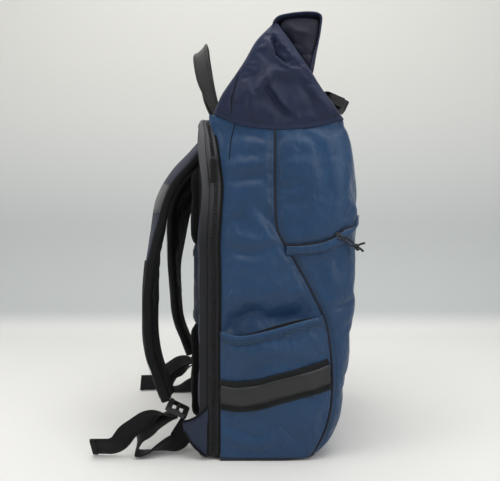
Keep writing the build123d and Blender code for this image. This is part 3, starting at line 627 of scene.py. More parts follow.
def beads(name, lines, pitch, size, material, up=(0, 0, 1)):
    """Stitches, teeth or the like along one or more lines, as one mesh."""
    verts, edges = [], []
    for line in lines:
        start = len(verts)
        verts += [tuple(p) for p in line]
        edges += [(start + i, start + i + 1) for i in range(len(line) - 1)]
    data = bpy.data.meshes.new(name)
    data.from_pydata(verts, edges, [])
    obj = linked(name, data)
    modifier = obj.modifiers.new("Beads", "NODES")
    modifier.node_group = BEADS
    ids = {item.name: item.identifier for item in BEADS.interface.items_tree if item.in_out == "INPUT"}
    modifier[ids["Pitch"]] = pitch
    modifier[ids["Bead Size"]] = tuple(size)
    modifier[ids["Up"]] = tuple(up)
    modifier[ids["Bead Material"]] = material
    return bake_modifiers(obj)


def stitches(name, lines, material=DARK_THREAD, pitch=0.0036, gauge=0.0006):
    return beads(name, lines, pitch, (pitch * 0.72, gauge * 1.1, gauge), material)


def close_ends(obj, ring):
    """A face over each end of a closed grid, whose rows have a number of vertices."""
    mesh = bmesh.new()
    mesh.from_mesh(obj.data)
    mesh.verts.ensure_lookup_table()
    for start in (0, len(mesh.verts) - ring):
        mesh.faces.new([mesh.verts[start + i] for i in range(ring)])
    bmesh.ops.recalc_face_normals(mesh, faces=mesh.faces)
    mesh.to_mesh(obj.data)
    mesh.free()


def tube(name, points, radius, material, up=(1, 0, 0), sides=8):
    """A round cord or piping along a line, with closed ends."""
    points = np.asarray(points, dtype=float)
    tangent = along(points)
    side = np.cross(tangent, np.asarray(up, dtype=float))
    side /= np.maximum(np.linalg.norm(side, axis=1), 1e-9)[:, None]
    rise = np.cross(side, tangent)
    radii = np.broadcast_to(np.asarray(radius, dtype=float), (len(points),))
    angles = linspace(0, 2 * pi, sides, endpoint=False)
    ring = (points[:, None, :] + radii[:, None, None] * (
        np.cos(angles)[None, :, None] * side[:, None, :]
        + np.sin(angles)[None, :, None] * rise[:, None, :]))
    uv = crossed(angles[None, :] * radii.mean(), path_length(points)[:, None])
    obj = grid_object(name, ring, uv, material, close=True)
    close_ends(obj, sides)
    for polygon in obj.data.polygons:
        polygon.use_smooth = True
    return obj


def ribbon(name, points, width, thickness, material, across=(1, 0, 0), belly=0.0, ragged=0.0, seed=3.0):
    """Flat webbing along a line: woven edges, four thin bevels, and a little slackness."""
    points = np.asarray(points, dtype=float)
    half = np.broadcast_to(np.asarray(width, dtype=float), (len(points),)) / 2
    tangent = along(points)
    across = np.broadcast_to(np.asarray(across, dtype=float), points.shape)
    side = unit(across - (tangent * across).sum(1)[:, None] * tangent)
    out = np.cross(side, tangent)
    bevel = min(0.35 * thickness, 0.0006)
    loop = [(-1, -1, 0), (-0.5, -1, 0), (0, -1, 0), (0.5, -1, 0), (1, -1, 0), (1, 0, 1), (1, 1, 0),
            (0.5, 1, 0), (0, 1, 0), (-0.5, 1, 0), (-1, 1, 0), (-1, 0, 1)]
    rows, uv = [], []
    lengths = path_length(points)
    wobble = np.array([noise.noise(Vector((s * 34, seed, 0))) for s in lengths]) * ragged
    for a, b, edge in loop:
        reach = a * (half - (0 if edge else bevel))
        rise = b * (thickness / 2) + belly * (1 - a * a) + wobble * a
        rows.append(points + reach[:, None] * side + np.asarray(rise)[:, None] * out)
        uv.append(np.stack([reach + 0.05 * (b + 1), lengths], axis=1))
    obj = grid_object(name, np.stack(rows, axis=1), np.stack(uv, axis=1), material, close=True)
    close_ends(obj, len(loop))
    return obj


def surface_tree(surface):
    return BVHTree.FromPolygons([v.co for v in surface.data.vertices],
                                [tuple(p.vertices) for p in surface.data.polygons])


def rested(points, surface, toward, lift):
    """Points moved along a direction until they lie on a surface, then lifted back by a little."""
    tree = surface_tree(surface)
    toward = Vector(toward).normalized()
    out = []
    for point in points:
        hit, _, _, reach = tree.ray_cast(Vector(point) - toward * 0.12, toward)
        if hit is None or reach > 0.19:
            hit = tree.find_nearest(Vector(point))[0]
        out.append(np.array(hit - toward * lift))
    return np.array(out)


# -------- the bag's shell
SAG = 0.014                    # how far the collar's hem hangs at the middle of each side
SHELL_CORNER = 0.018
POCKET_ZIP_Z = 0.27
FRONT = np.array([(0.0, -0.016), (0.0008, -0.029), (0.004, -0.043), (0.012, -0.0525), (0.024, -0.0605),
                  (0.046, -0.0685), (0.08, -0.0745), (0.127, -0.0815), (0.179, -0.0858), (0.249, -0.0895),
                  (0.278, -0.0905), (0.318, -0.0875), (0.359, -0.0812), (HEM_Z, -0.0745)])
FRONT_LINE = smooth_line(FRONT, 120)
SIDE_SEAM = smooth_line([(0.0055, HEM_Z), (0.0055, 0.305), (0.0035, 0.264), (-0.004, 0.246), (-0.018, 0.223),
                         (-0.036, 0.19), (-0.05, 0.16), (-0.0565, 0.128), (-0.059, 0.098), (-0.0585, 0.066),
                         (-0.053, 0.038), (-0.043, 0.016), (-0.034, 0.004)], 120)
ZIP_SIDE = smooth_line([(-0.007, 0.2405), (-0.022, 0.2405), (-0.045, 0.2435), (-0.062, 0.25), (-0.073, 0.2585),
                        (-0.0895, POCKET_ZIP_Z)], 60)
LEAN = smooth_line([(0.0, 0.0), (0.2, 0.0), (0.245, 0.0006), (0.29, -0.002), (0.312, -0.0026), (0.336, 0.0),
                    (0.36, 0.0036), (0.378, 0.0088), (HEM_Z, 0.0112), (0.5, 0.0112)], 160)


def lean(z):
    """How far the back opening's edge stands back of its flat plane: it tips back at the top, in at the waist."""
    return np.interp(z, LEAN[:, 0], LEAN[:, 1])


def narrow(z):
    """How much of its depth the zip gusset keeps: its top is drawn together where the panel rounds over."""
    return 1 - 0.42 * step(np.asarray(z, dtype=float), 0.345, 0.392)


def drawn(y, z):
    """A place across the zip gusset's depth, leaned and drawn together."""
    return BACK_Y + (y - BACK_Y) * narrow(z) + lean(z)


def front_y(z):
    return np.interp(z, FRONT_LINE[:, 0], FRONT_LINE[:, 1])


def hem_drop(y):
    """How far the hem hangs below its ends, at a place between back and front."""
    return SAG * np.clip(1 - ((y + 0.001) / 0.074) ** 2, 0, 1)


def side_relief(y, z, far):
    """How far the side's fabric stands off its flat panel: slack, tuck lines and pulls at the seams."""
    at = np.stack([y, z], axis=1)
    wide = (1 - (np.clip((y + 0.01) / 0.085, -1, 1)) ** 2) * np.sin(np.clip(z / 0.392, 0, 1) * pi) ** 0.6
    relief = 0.0042 * np.clip(wide, 0, 1)
    seam, _ = distance_to_line(at, SIDE_SEAM)
    zipper, _ = distance_to_line(at, ZIP_SIDE)
    relief -= 0.0026 * np.exp(-(seam / 0.0055) ** 2)
    relief -= 0.0015 * np.exp(-(zipper / 0.006) ** 2)
    mouth = np.interp(y, [-0.05, -0.018, 0.03, 0.068], [0.166, 0.16, 0.148, 0.149]) + 0.004
    relief -= 0.0085 * np.exp(-((z - mouth) / 0.017) ** 2) * step(y, -0.05, -0.025) * step(-y, -0.066, -0.052)
    relief = folded(relief, at, [
        (0.008, 0.0026, (0.058, 0.352), (0.03, 0.344), (0.01, 0.35)),
        (0.008, 0.0024, (0.06, 0.262), (0.034, 0.246), (0.01, 0.24)),
        (0.006, -0.002, (0.04, 0.222), (0.018, 0.206)),
    ] if far else [
        (0.0075, 0.0034, (0.061, 0.331), (0.046, 0.334), (0.026, 0.333), (0.012, 0.338)),
        (0.006, -0.0026, (0.058, 0.316), (0.036, 0.319), (0.016, 0.322)),
        (0.007, 0.0034, (0.061, 0.255), (0.044, 0.249), (0.022, 0.246), (0.008, 0.249)),
        (0.006, -0.0026, (0.06, 0.24), (0.04, 0.232), (0.024, 0.23)),
        (0.0055, -0.0032, (0.024, 0.286), (0.014, 0.272), (0.005, 0.256)),
        (0.0055, 0.0024, (0.031, 0.278), (0.02, 0.262), (0.011, 0.25)),
        (0.008, 0.0024, (0.06, 0.186), (0.03, 0.18), (0.002, 0.192)),
        (0.01, 0.0022, (-0.01, 0.372), (-0.018, 0.33), (-0.016, 0.29)),
        (0.009, -0.002, (-0.036, 0.372), (-0.046, 0.33), (-0.05, 0.286)),
        (0.008, 0.002, (-0.052, 0.226), (-0.06, 0.2), (-0.066, 0.172)),
    ])
    for number, place in enumerate(linspace(0.03, 0.12, 5)):
        reach = [(-0.0595 - 0.002 * (number % 2), place), (-0.0665, place - 0.006), (-0.073, place - 0.01)]
        relief += fold(at, reach, 0.0032, 0.0016 if number % 2 else -0.0014)
    return relief


def shell_points(rows=100, along_side=34, along_corner=7, along_front=44):
    """The cloth body as a grid: rows up from the base, columns from one back edge round to the other."""
    grid = []
    x_corner = BAG_HALF - SHELL_CORNER
    for z, y_front in smooth_line(FRONT, rows):
        y_corner = y_front + SHELL_CORNER
        near = [(-BAG_HALF, y) for y in linspace(BACK_Y + lean(z), y_corner, along_side)]
        near += [(-BAG_HALF + SHELL_CORNER - SHELL_CORNER * cos(a), y_corner - SHELL_CORNER * sin(a))
                 for a in linspace(0, pi / 2, along_corner)[1:]]
        front = [(x, y_front) for x in linspace(-x_corner, x_corner, along_front)[1:-1]]
        ring = near + front + [(-x, y) for x, y in reversed(near)]
        hang = step(z, 0.27, HEM_Z)
        grid.append([(x, y, z - hem_drop(np.array(y)) * hang) for x, y in ring])
    return np.array(grid)


shell_grid = shell_points()
columns = shell_grid.shape[1]
along_rows = row_length(shell_grid[:, :, :2])
along_rows -= along_rows[:, -1:] / 2
shell_uv = crossed(along_rows, path_length(shell_grid[:, columns // 2])[:, None])
bag_shell = grid_object("bag_shell", shell_grid, shell_uv, BLUE)
flat_points = coords(bag_shell)
flat_x, flat_y, flat_z = flat_points.T
outward = np.zeros_like(flat_points)
outward[:, 1] = np.where(flat_y > front_y(flat_z) + SHELL_CORNER, 0, flat_y - front_y(flat_z) - SHELL_CORNER)
outward[:, 0] = np.sign(flat_x) * np.maximum(0, np.abs(flat_x) - BAG_HALF + SHELL_CORNER)
outward /= np.maximum(np.linalg.norm(outward, axis=1), 1e-9)[:, None]
off_edge = np.abs(flat_y - BACK_Y - lean(flat_z))
hem_z = HEM_Z - hem_drop(flat_y)


def front_relief(x, z):
    """The front's slack cloth round the solar panel and under the clasp."""
    at = np.stack([x, z], axis=1)
    relief = 0.003 * (1 - (x / 0.127) ** 2) * np.sin(np.clip(z / 0.392, 0, 1) * pi) ** 0.7
    relief -= 0.0022 * np.exp(-((z - POCKET_ZIP_Z) / 0.006) ** 2)
    return folded(relief, at, [
        (0.01, 0.003, (-0.105, 0.372), (-0.06, 0.352), (-0.028, 0.362)),
        (0.01, 0.0028, (0.11, 0.36), (0.07, 0.34), (0.03, 0.346)),
        (0.009, -0.0022, (-0.09, 0.318), (-0.03, 0.306), (0.04, 0.314), (0.095, 0.302)),
        (0.01, 0.0022, (-0.115, 0.064), (-0.06, 0.048), (0.0, 0.054), (0.07, 0.044))])


share = np.abs(outward[:, 0]) ** 2
lift = (share * np.where(flat_x < 0, side_relief(flat_y, flat_z, False), side_relief(flat_y, flat_z, True))
        + (1 - share) * front_relief(flat_x, flat_z)) * (step(flat_z, 0.001, 0.02) * step(hem_z - flat_z, 0.0, 0.022))
lift *= step(off_edge, 0.001, 0.01)
set_coords(bag_shell, flat_points + outward * lift[:, None] + outward * (
    0.0009 * rumple(flat_points, 26.0, 2.0) * step(flat_z, 0.005, 0.03) * (off_edge > 0.004))[:, None])
on_side = np.abs(flat_x) > BAG_HALF - 0.006
seam_far, _ = distance_to_line(flat_points[:, 1:3], SIDE_SEAM)
zip_far, _ = distance_to_line(flat_points[:, 1:3], ZIP_SIDE)
pins = np.maximum.reduce([
    1 - step(off_edge, 0.002, 0.008), 1 - step(flat_z, 0.006, 0.018),
    step(flat_z + hem_drop(flat_y), HEM_Z - 0.01, HEM_Z - 0.003),
    on_side * (1 - step(seam_far, 0.002, 0.007)), on_side * (1 - step(zip_far, 0.002, 0.007)) * 0.8,
    ~on_side * (1 - step(np.abs(flat_z - POCKET_ZIP_Z), 0.003, 0.008)) * 0.8,
    on_side * (1 - step(np.hypot(flat_y - 0.006, (flat_z - 0.2405) * 2.0), 0.0, 0.003)),
    ~on_side * (np.abs(flat_x) < 0.1) * (flat_z > 0.085) * (flat_z < 0.255)])
simulated(bag_shell, pins, pressure=1.2, shrink=-0.02, cap=0.005)
subdivided(bag_shell)


def side_line(line, side, surface, lift):
    """A line given as (y, z) on the bag's side, laid on a surface from outside."""
    points = [(side * (BAG_HALF + 0.02), y, z) for y, z in line]
    return rested(points, surface, (-side, 0, 0), lift)


def offset_line(line, distance):
    """A flat line moved sideways by a distance."""
    return line + distance * beside(along(line))


def hem_clip(line):
    """The part of a side line that is under the collar's hem."""
    return np.array([p for p in line if p[1] + hem_drop(p[0]) < HEM_Z - 0.003])


seam_lines, stitch_lines = [], []
for side in (-1, 1):
    seam = side_line(hem_clip(SIDE_SEAM), side, bag_shell, -0.0004)
    seam_lines.append(tube("piping", seam, 0.0017, PIPING, up=(side, 0, 0), sides=10))
    for distance in (-0.0048, 0.0048):
        stitch_lines.append(side_line(hem_clip(offset_line(SIDE_SEAM, distance)), side, bag_shell, 0.0002))
seam_piping_cord = joined("seam_piping_cord", seam_lines)
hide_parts("seam_piping")
seam_stitches = stitches("seam_stitches", stitch_lines, THREAD, 0.0038)

# a trim along the floor, and the base itself, turned up all round
low_ring = shell_grid[0]
high_ring = np.array([shell_grid[max(1, np.argmin(np.abs(shell_grid[:, column, 2] - 0.0042))), column]
                      for column in range(columns)])
trim_rows = []
for k in linspace(0, 1, 4):
    row = low_ring * (1 - k) + high_ring * k
    away = np.stack([np.sign(row[:, 0]) * step(np.abs(row[:, 0]), BAG_HALF - SHELL_CORNER, BAG_HALF),
                     -1.0 * (row[:, 1] < front_y(0.004) + 0.02), np.zeros(len(row))], axis=1)
    away /= np.maximum(np.linalg.norm(away, axis=1), 1e-9)[:, None]
    trim_rows.append(row + away * (0.0012 * sin(pi * (0.2 + 0.7 * k))))
base_trim = grid_object("base_trim", np.array(trim_rows),
                        crossed(along_rows[0][None, :], linspace(0, 0.006, 4)[:, None]), TRIM)
thickened(base_trim, 0.0012, 1.0)
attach(base_trim, "bag")

under = np.array([low_ring * (1 - k) + np.array([0.0, 0.03, 0.0]) * k for k in linspace(0, 0.98, 10)])
under[:, :, 2] = 0.0006 + 0.0014 * linspace(0, 1, 10)[:, None]
base_sheet = grid_object("base_sheet", under, under[:, :, :2], TRIM)
thickened(base_sheet, 0.0016)
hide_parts("base_panel")
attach(base_sheet, "bag")
for piece in (bag_shell, seam_piping_cord, seam_stitches):
    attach(piece, "bag")


# -------- front pocket's zip
def front_line(z, surface, lift, reach, count):
    """A level line across the bag's front, laid on the cloth."""
    return rested([(x, -0.12, z) for x in linspace(-reach, reach, count)], surface, (0, 1, 0), lift)


shell_tree = surface_tree(bag_shell)


def round_front(offset, lift):
    """The pocket zip's line: over one side, round the corner, across the front and back along the other side."""
    side_part = offset_line(ZIP_SIDE, offset)
    side_part = side_part[side_part[:, 0] > front_y(POCKET_ZIP_Z) + SHELL_CORNER]
    start, end = side_part[-1, 1], POCKET_ZIP_Z + offset
    halves = []
    for side in (-1, 1):
        turn = []
        for angle in linspace(0.08, 0.94, 12) * pi / 2:
            z = start + (end - start) * angle / (pi / 2)
            out = np.array([side * cos(angle), -sin(angle), 0])
            rough = np.array([side * (BAG_HALF - SHELL_CORNER), front_y(z) + SHELL_CORNER, z]) + out * SHELL_CORNER
            turn.append(np.array(shell_tree.find_nearest(Vector(rough))[0]) + out * lift)
        halves.append(np.vstack([side_line(side_part, side, bag_shell, lift), turn]))
    across = front_line(POCKET_ZIP_Z + offset, bag_shell, lift, BAG_HALF - SHELL_CORNER - 0.002, 80)
    return smooth_line(np.vstack([halves[0], across, halves[1][::-1]])[::2], 420)


def zip_strip(name, section, width, material, thick):
    """A strip of cloth along the pocket zip, from (offset, lift) places across it."""
    grid = np.array([round_front(offset, lift) for offset, lift in section])
    return thickened(grid_object(name, grid, crossed(width[:, None], tape_length[None, :]), material,
                                 flip=material is ZIP_TAPE), thick, 1.0)


zip_gap = round_front(0.0, 0.0008)
tape_length = path_length(zip_gap)
pocket_zip_band = zip_strip("pocket_zip_band", (
    (-0.0034, 0.0004), (-0.002, 0.0011), (0.0, 0.0009), (0.002, 0.0011), (0.005, 0.0004)),
    linspace(-0.005, 0.005, 5), ZIP_TAPE, 0.0007)
pocket_zip_coil = beads("pocket_zip_coil", [zip_gap], 0.0017, (0.0012, 0.0036, 0.0018), COIL)
zip_flap = zip_strip("pocket_zip_flap", (
    (0.009, 0.0003), (0.007, 0.0022), (0.003, 0.0034), (0.0002, 0.0036), (-0.0012, 0.0031)),
    linspace(0, 0.011, 5), BLUE, 0.0009)
zip_stitches = stitches("pocket_zip_stitches", [round_front(-0.0056, 0.0002), round_front(0.0072, 0.003)], THREAD)
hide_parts("pocket_zip_tape")
for piece in (pocket_zip_band, pocket_zip_coil, zip_flap, zip_stitches):
    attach(piece, "bag")


# -------- side pockets
POCKET_LINE = smooth_line([(0.0668, 0.1455), (0.058, 0.1425), (0.046, 0.141), (0.03, 0.1435), (0.008, 0.149),
                           (-0.018, 0.156), (-0.04, 0.161), (-0.0485, 0.163)], 60)
POCKET_ROWS, POCKET_COLUMNS = 44, 46


def seam_y(z):
    """Where the side seam runs at a height."""
    order = np.argsort(SIDE_SEAM[:, 1])
    return np.interp(z, SIDE_SEAM[order, 1], SIDE_SEAM[order, 0])


def pocket_points(side):
    """A side pocket's sheet: sewn down at its foot and sides, standing off the bag toward its mouth."""
    points = np.zeros((POCKET_ROWS, POCKET_COLUMNS, 3))
    for r, t in enumerate(linspace(0, 1, POCKET_ROWS)):
        for c, s in enumerate(linspace(0, 1, POCKET_COLUMNS)):
            y = BACK_Y + s * (seam_y(0.004 + 0.15 * t) + 0.0022 - BACK_Y)
            top = np.interp(-y, -POCKET_LINE[:, 0], POCKET_LINE[:, 1])
            middle = sin(pi * min(1, max(0, s))) ** 0.55
            lift = 0.0016 + (0.003 + 0.0105 * t ** 1.6) * middle * (0.3 + 0.7 * t)
            points[r, c] = (side * (BAG_HALF + lift), y, 0.003 + t * (top - 0.003))
    return points


# diagonal pulls from a side pocket's lower front corner, and slack over its hem
POCKET_FOLDS = [(0.006, 0.0034, (-0.01, 0.066), (-0.028, 0.048), (-0.044, 0.022)),
                (0.005, -0.0028, (-0.022, 0.074), (-0.04, 0.056), (-0.053, 0.036)),
                (0.0045, 0.002, (-0.03, 0.082), (-0.046, 0.07), (-0.056, 0.056)),
                (0.0055, -0.0022, (0.004, 0.05), (-0.012, 0.034), (-0.026, 0.012)),
                (0.008, 0.0018, (0.06, 0.128), (0.03, 0.124), (-0.008, 0.132)),
                (0.0075, -0.0022, (0.056, 0.046), (0.03, 0.04), (0.006, 0.046)),
                (0.0075, 0.002, (0.058, 0.028), (0.03, 0.022), (0.002, 0.026)),
                (0.005, 0.0018, (-0.034, 0.142), (-0.044, 0.13), (-0.054, 0.124))]


pocket_sheets = {}
for side, word in SIDES:
    grid = pocket_points(side)
    sheet = grid_object(f"pocket_sheet_{word}", grid, grid[:, :, 1:], BLUE, flip=side > 0)
    flat = coords(sheet)
    level = np.repeat(linspace(0, 1, POCKET_ROWS), POCKET_COLUMNS)
    across = linspace(0, 1, POCKET_COLUMNS)
    edge = np.tile(np.minimum(across, 1 - across), POCKET_ROWS)
    folds = folded(0.0, flat[:, 1:3], POCKET_FOLDS) * (1.0 if side < 0 else 0.85)
    flat[:, 0] += side * (folds + 0.0008 * rumple(flat, 34.0, 7.0 + side)) * (step(edge, 0.0, 0.1)
                                                                             * step(level, 0.0, 0.12))
    set_coords(sheet, flat)
    pins = np.maximum.reduce([1 - step(edge, 0.008, 0.04), 1 - step(level, 0.01, 0.05), step(level, 0.93, 0.985) * 0.9])
    simulated(sheet, pins, pressure=0.8, shrink=-0.025, cap=0.0045)
    subdivided(sheet)
    pocket_sheets[side] = sheet

BAND_MIDDLE = smooth_line([(0.0692, 0.0754), (0.054, 0.0735), (0.044, 0.074), (0.026, 0.0765), (0.004, 0.0825),
                           (-0.022, 0.089), (-0.044, 0.0945), (-0.0585, 0.099)], 90)


def laid_band(name, side, reach, lift, thick, material, rows=7):
    """A band sewn along the pocket, reaching as far over its middle line as under it, following the cloth."""
    lines = []
    for k in linspace(0, 1, rows):
        line = offset_line(BAND_MIDDLE, -reach + 2 * reach * k)
        line[:, 0] = np.maximum(line[:, 0], seam_y(line[:, 1]) + 0.003)
        points = side_line(line, side, pocket_sheets[side], lift)
        for i, point in enumerate(points):
            point[0] += side * 0.0008 * sin(pi * k) * noise.noise(Vector((i * 0.21, k * 3, side * 4.0)))
        lines.append(points)
    grid = np.array(lines)
    for row in grid:
        raised = side * np.max([np.roll(side * row[:, 0], k) for k in (-2, -1, 0, 1, 2)], axis=0)
        raised[:2], raised[-2:] = raised[2], raised[-3]
        row[:, 0] = evened(raised, 3)
    uv = crossed(linspace(-reach, reach, rows)[:, None], linspace(0, 0.128, grid.shape[1])[None, :])
    return thickened(grid_object(name, grid, uv, material, flip=side < 0), thick, 1.0)


bands, tapes, band_threads = [], [], []
for side, word in SIDES:
    sheet = pocket_sheets[side]
    hem_rows = []
    wave = np.array([noise.noise(Vector((y * 160, side * 3.0, 0))) for y, _ in POCKET_LINE])
    for drop, raised, lift in ((0.0002, 0, -0.0012), (0.0002, 0.0016, 0.001), (0.0002, 0, 0.0022), (0.003, 0, 0.0024),
                               (0.0085, 0, 0.0018), (0.01, 0, 0.0004)):
        points = side_line([(y, z - drop) for y, z in POCKET_LINE], side, sheet, lift)
        points[:, 2] += raised
        points[:, 0] += side * 0.0007 * wave
        hem_rows.append(points)
    hem_uv = crossed(POCKET_LINE[None, :, 0], linspace(0, 0.012, 6)[:, None])
    hem = grid_object(f"pocket_hem_{word}", np.array(hem_rows), hem_uv, BLUE, flip=side > 0)
    thickened(hem, 0.0009, 1.0)
    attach(hem, "bag")
    bands.append(laid_band("band", side, 0.017, 0.0004, 0.0013, BAND_WEB))
    tapes.append(laid_band("tape", side, 0.0105, 0.0018, 0.0004, TAPE))
    for distance in (-0.0155, 0.0155, -0.0095, 0.0095):
        band_threads.append(side_line(offset_line(BAND_MIDDLE, distance)[1:-3], side, sheet,
                                      0.0019 if abs(distance) > 0.012 else 0.0024))
    for drop, lift in ((0.0078, 0.0027), (0.0046, 0.003)):
        band_threads.append(side_line([(y, z - drop) for y, z in POCKET_LINE], side, sheet, lift))
    thickened(sheet, 0.0015)
    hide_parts(f"side_pocket_{word}")
    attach(sheet, "bag")
reflective_band_pair = joined("reflective_band_pair", bands)
reflective_tape_pair = joined("reflective_tape_pair", tapes)
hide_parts("reflective_bands")
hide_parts("reflective_tapes")
band_stitches = stitches("band_stitches", band_threads, pitch=0.0034)
thickened(bag_shell, 0.0018)
bag_shell.data.materials.append(LINING)
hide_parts("side_panel_left", "side_panel_right", "front_upper_panel", "front_pocket_panel")
for piece in (reflective_band_pair, reflective_tape_pair, band_stitches):
    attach(piece, "bag")

# a near-black strip in each side pocket's mouth: painted shade where the cloth behind falls away
for side, word in SIDES:
    mouth_line = POCKET_LINE[4:-2]
    mouth = side_line([(y, z - 0.003) for y, z in mouth_line], side, pocket_sheets[side], 0.0)
    rise = 0.0036 * np.sin(linspace(0, 1, len(mouth)) ** 1.3 * pi)
    grid = np.array([np.column_stack([mouth[:, 0] - side * behind, mouth[:, 1],
                                      mouth_line[:, 1] - 0.002 + (0.002 + rise) * share])
                     for share, behind in ((0.0, 0.0012), (0.5, 0.002), (1.0, 0.0036))])
    mouth_shade_strip = grid_object(f"pocket_mouth_lining_{word}", grid, grid[:, :, 1:], BINDING, flip=side > 0)
    thickened(mouth_shade_strip, 0.0008, 0.0)
    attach(mouth_shade_strip, "bag")


# -------- the rolled collar
COLLAR_BACK = smooth_line([(0.067, 0.388), (0.0662, 0.3925), (0.059, 0.413), (0.0462, 0.436), (0.0368, 0.452),
                           (0.0262, 0.4725), (0.016, 0.485), (0.0082, 0.494)], 46)
COLLAR_FRONT = smooth_line([(-0.0728, 0.3864), (-0.0708, 0.3902), (-0.058, 0.409), (-0.0475, 0.4235),
                            (-0.0375, 0.4385), (-0.024, 0.458), (-0.0065, 0.482), (0.0012, 0.4925)], 46)
COLLAR_HALF = 0.1462
TENT = 0.0085                  # how far the two back corners of the collar reach out over the zip gusset


def collar_points(side_columns=40, wide_columns=56):
    """The collar as closed rings, hem to crest: each side and the front and back, with rounded corners."""
    rows = []
    for t, (back, front) in enumerate(zip(COLLAR_BACK, COLLAR_FRONT)):
        height = t / (len(COLLAR_BACK) - 1)
        depth = back[0] - front[0]
        radius = min(0.004, depth * 0.45)
        y_mid = (back[0] + front[0]) / 2
        arcs = [[(cx * (COLLAR_HALF - radius) + radius * cos(begin + a),
                  y_mid + cy * (depth / 2 - radius) + radius * sin(begin + a))
                 for a in linspace(0, pi / 2, 6)]
                for cx, cy, begin in ((-1, 1, pi / 2), (-1, -1, pi), (1, -1, 1.5 * pi), (1, 1, 2 * pi))]
        ring = []
        for turn, columns in enumerate((side_columns, wide_columns) * 2):
            last, target = np.array(arcs[turn][-1]), np.array(arcs[(turn + 1) % 4][0])
            ring += arcs[turn] + [tuple(last * (1 - k) + target * k) for k in linspace(0, 1, columns)[1:-1]]
        row = []
        for x, y in ring:
            share = np.clip((back[0] - y) / max(depth, 1e-6), 0, 1)
            z = back[1] * (1 - share) + front[1] * share
            out_back = TENT * (1 - height) ** 1.1 * step(abs(x), 0.08, 0.14) * step(1 - share, 0.55, 1.0)
            rise = 0.0045 * (1 - height) ** 1.3 * step(abs(x), 0.08, 0.14) * step(1 - share, 0.75, 1.0)
            row.append((x, y + out_back, z + rise - hem_drop(np.array(y)) * (1 - height) ** 1.6))
        rows.append(row)
    return np.array(rows)


collar_grid = collar_points()
collar_rows, collar_columns = collar_grid.shape[:2]
around = row_length(collar_grid)
collar_uv = crossed(around - around[:, -1:] / 2, linspace(0, 0.125, collar_rows)[:, None])
on_fold = np.array([[min(math.dist((abs(x), y), (COLLAR_HALF, COLLAR_BACK[r][0] + TENT * 0.5)),
                         math.dist((abs(x), y), (COLLAR_HALF, COLLAR_FRONT[r][0])))
                     for x, y, _ in row] for r, row in enumerate(collar_grid)]).ravel()
collar_cloth = grid_object("collar_cloth", collar_grid, collar_uv, NAVY, close=True)
flat = coords(collar_cloth)
level = np.repeat(linspace(0, 1, collar_rows), collar_columns)
at = flat[:, 1:3]
end_face = step(np.abs(flat[:, 0]), 0.136, 0.1445)
relief = 0.0042 * end_face * np.sin(pi * np.clip(level, 0, 1)) ** 0.7
relief = folded(relief, at, [(0.0055, 0.0042, (0.0046, 0.44), (0.014, 0.428), (0.026, 0.413))])
relief -= tuck(at, [(0.016, 0.43), (0.011, 0.418), (0.004, 0.407), (-0.006, 0.396), (-0.0165, 0.389)], 0.0055,
               0.0075)
relief += tuck(at, [(0.0098, 0.48), (0.009, 0.465), (0.004, 0.454), (-0.005, 0.4455), (-0.014, 0.4412),
                    (-0.024, 0.443)], 0.006, 0.008)
relief = folded(relief, at, [
    (0.0042, 0.0026, (0.008, 0.438), (-0.002, 0.4345), (-0.014, 0.434)),
    (0.005, 0.003, (0.005, 0.484), (-0.002, 0.47), (-0.011, 0.456), (-0.02, 0.448)),
    (0.006, 0.0026, (0.04, 0.43), (0.033, 0.412), (0.03, 0.39)),
    (0.0022, -0.0022, (0.047, 0.436), (0.051, 0.422), (0.0545, 0.388)),
    (0.005, 0.0024, (-0.03, 0.424), (-0.044, 0.408), (-0.06, 0.392)),
    (0.005, -0.0026, (-0.02, 0.43), (-0.032, 0.412), (-0.044, 0.39))])
wide_face = 1 - end_face
xz = np.stack([flat[:, 0], flat[:, 2]], axis=1)
gather = sum(fold(xz, [(x, 0.47), (x * 1.12 + 0.008, 0.43), (x * 1.2, 0.396)], 0.0075, 0.003 * (1 - 2 * (n % 2)))
             for n, x in enumerate(linspace(-0.105, 0.105, 8)))
out = np.zeros_like(flat)
out[:, 0] = np.sign(flat[:, 0]) * end_face
out[:, 1] = np.where(flat[:, 1] > (0.0662 * (1 - level) - 0.0735 * (1 - level)) / 2, 1.0, -1.0) * wide_face
set_coords(collar_cloth, flat + out * (
    (relief * end_face + gather * wide_face) * step(level, 0.02, 0.1) * (1 - 0.8 * step(level, 0.86, 1.0))
    + 0.0008 * rumple(flat, 40.0, 11.0))[:, None])
pins = np.maximum.reduce([1 - step(level, 0.03, 0.09), step(level, 0.9, 0.97), 1 - step(on_fold, 0.006, 0.011)])
simulated(collar_cloth, pins, pressure=-0.35, shrink=-0.035, cap=0.0035, stiffness=12, bending=0.5)
subdivided(collar_cloth)
collar_threads = [side_line(line, side, collar_cloth, 0.0002) for line in (
    [(y, 0.393 - hem_drop(y) + 0.0008) for y in linspace(0.07, -0.069, 60)],
    [(0.0465, 0.437), (0.0495, 0.425), (0.053, 0.405), (0.0562, 0.388)]) for side in (-1, 1)]
collar_threads += [rested([(x, y, 0.3965) for x in linspace(-0.125, 0.125, 90)], collar_cloth, (0, turn, 0), 0.0002)
                   for y, turn in ((-0.12, 1), (0.12, -1))]
thickened(collar_cloth, 0.0018)
collar_cloth.data.materials.append(LINING)
collar_stitches = stitches("collar_stitches", collar_threads, pitch=0.0038)
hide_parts("collar_back", "collar_front", "collar_gussets")
for piece in (collar_cloth, collar_stitches):
    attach(piece, "bag")
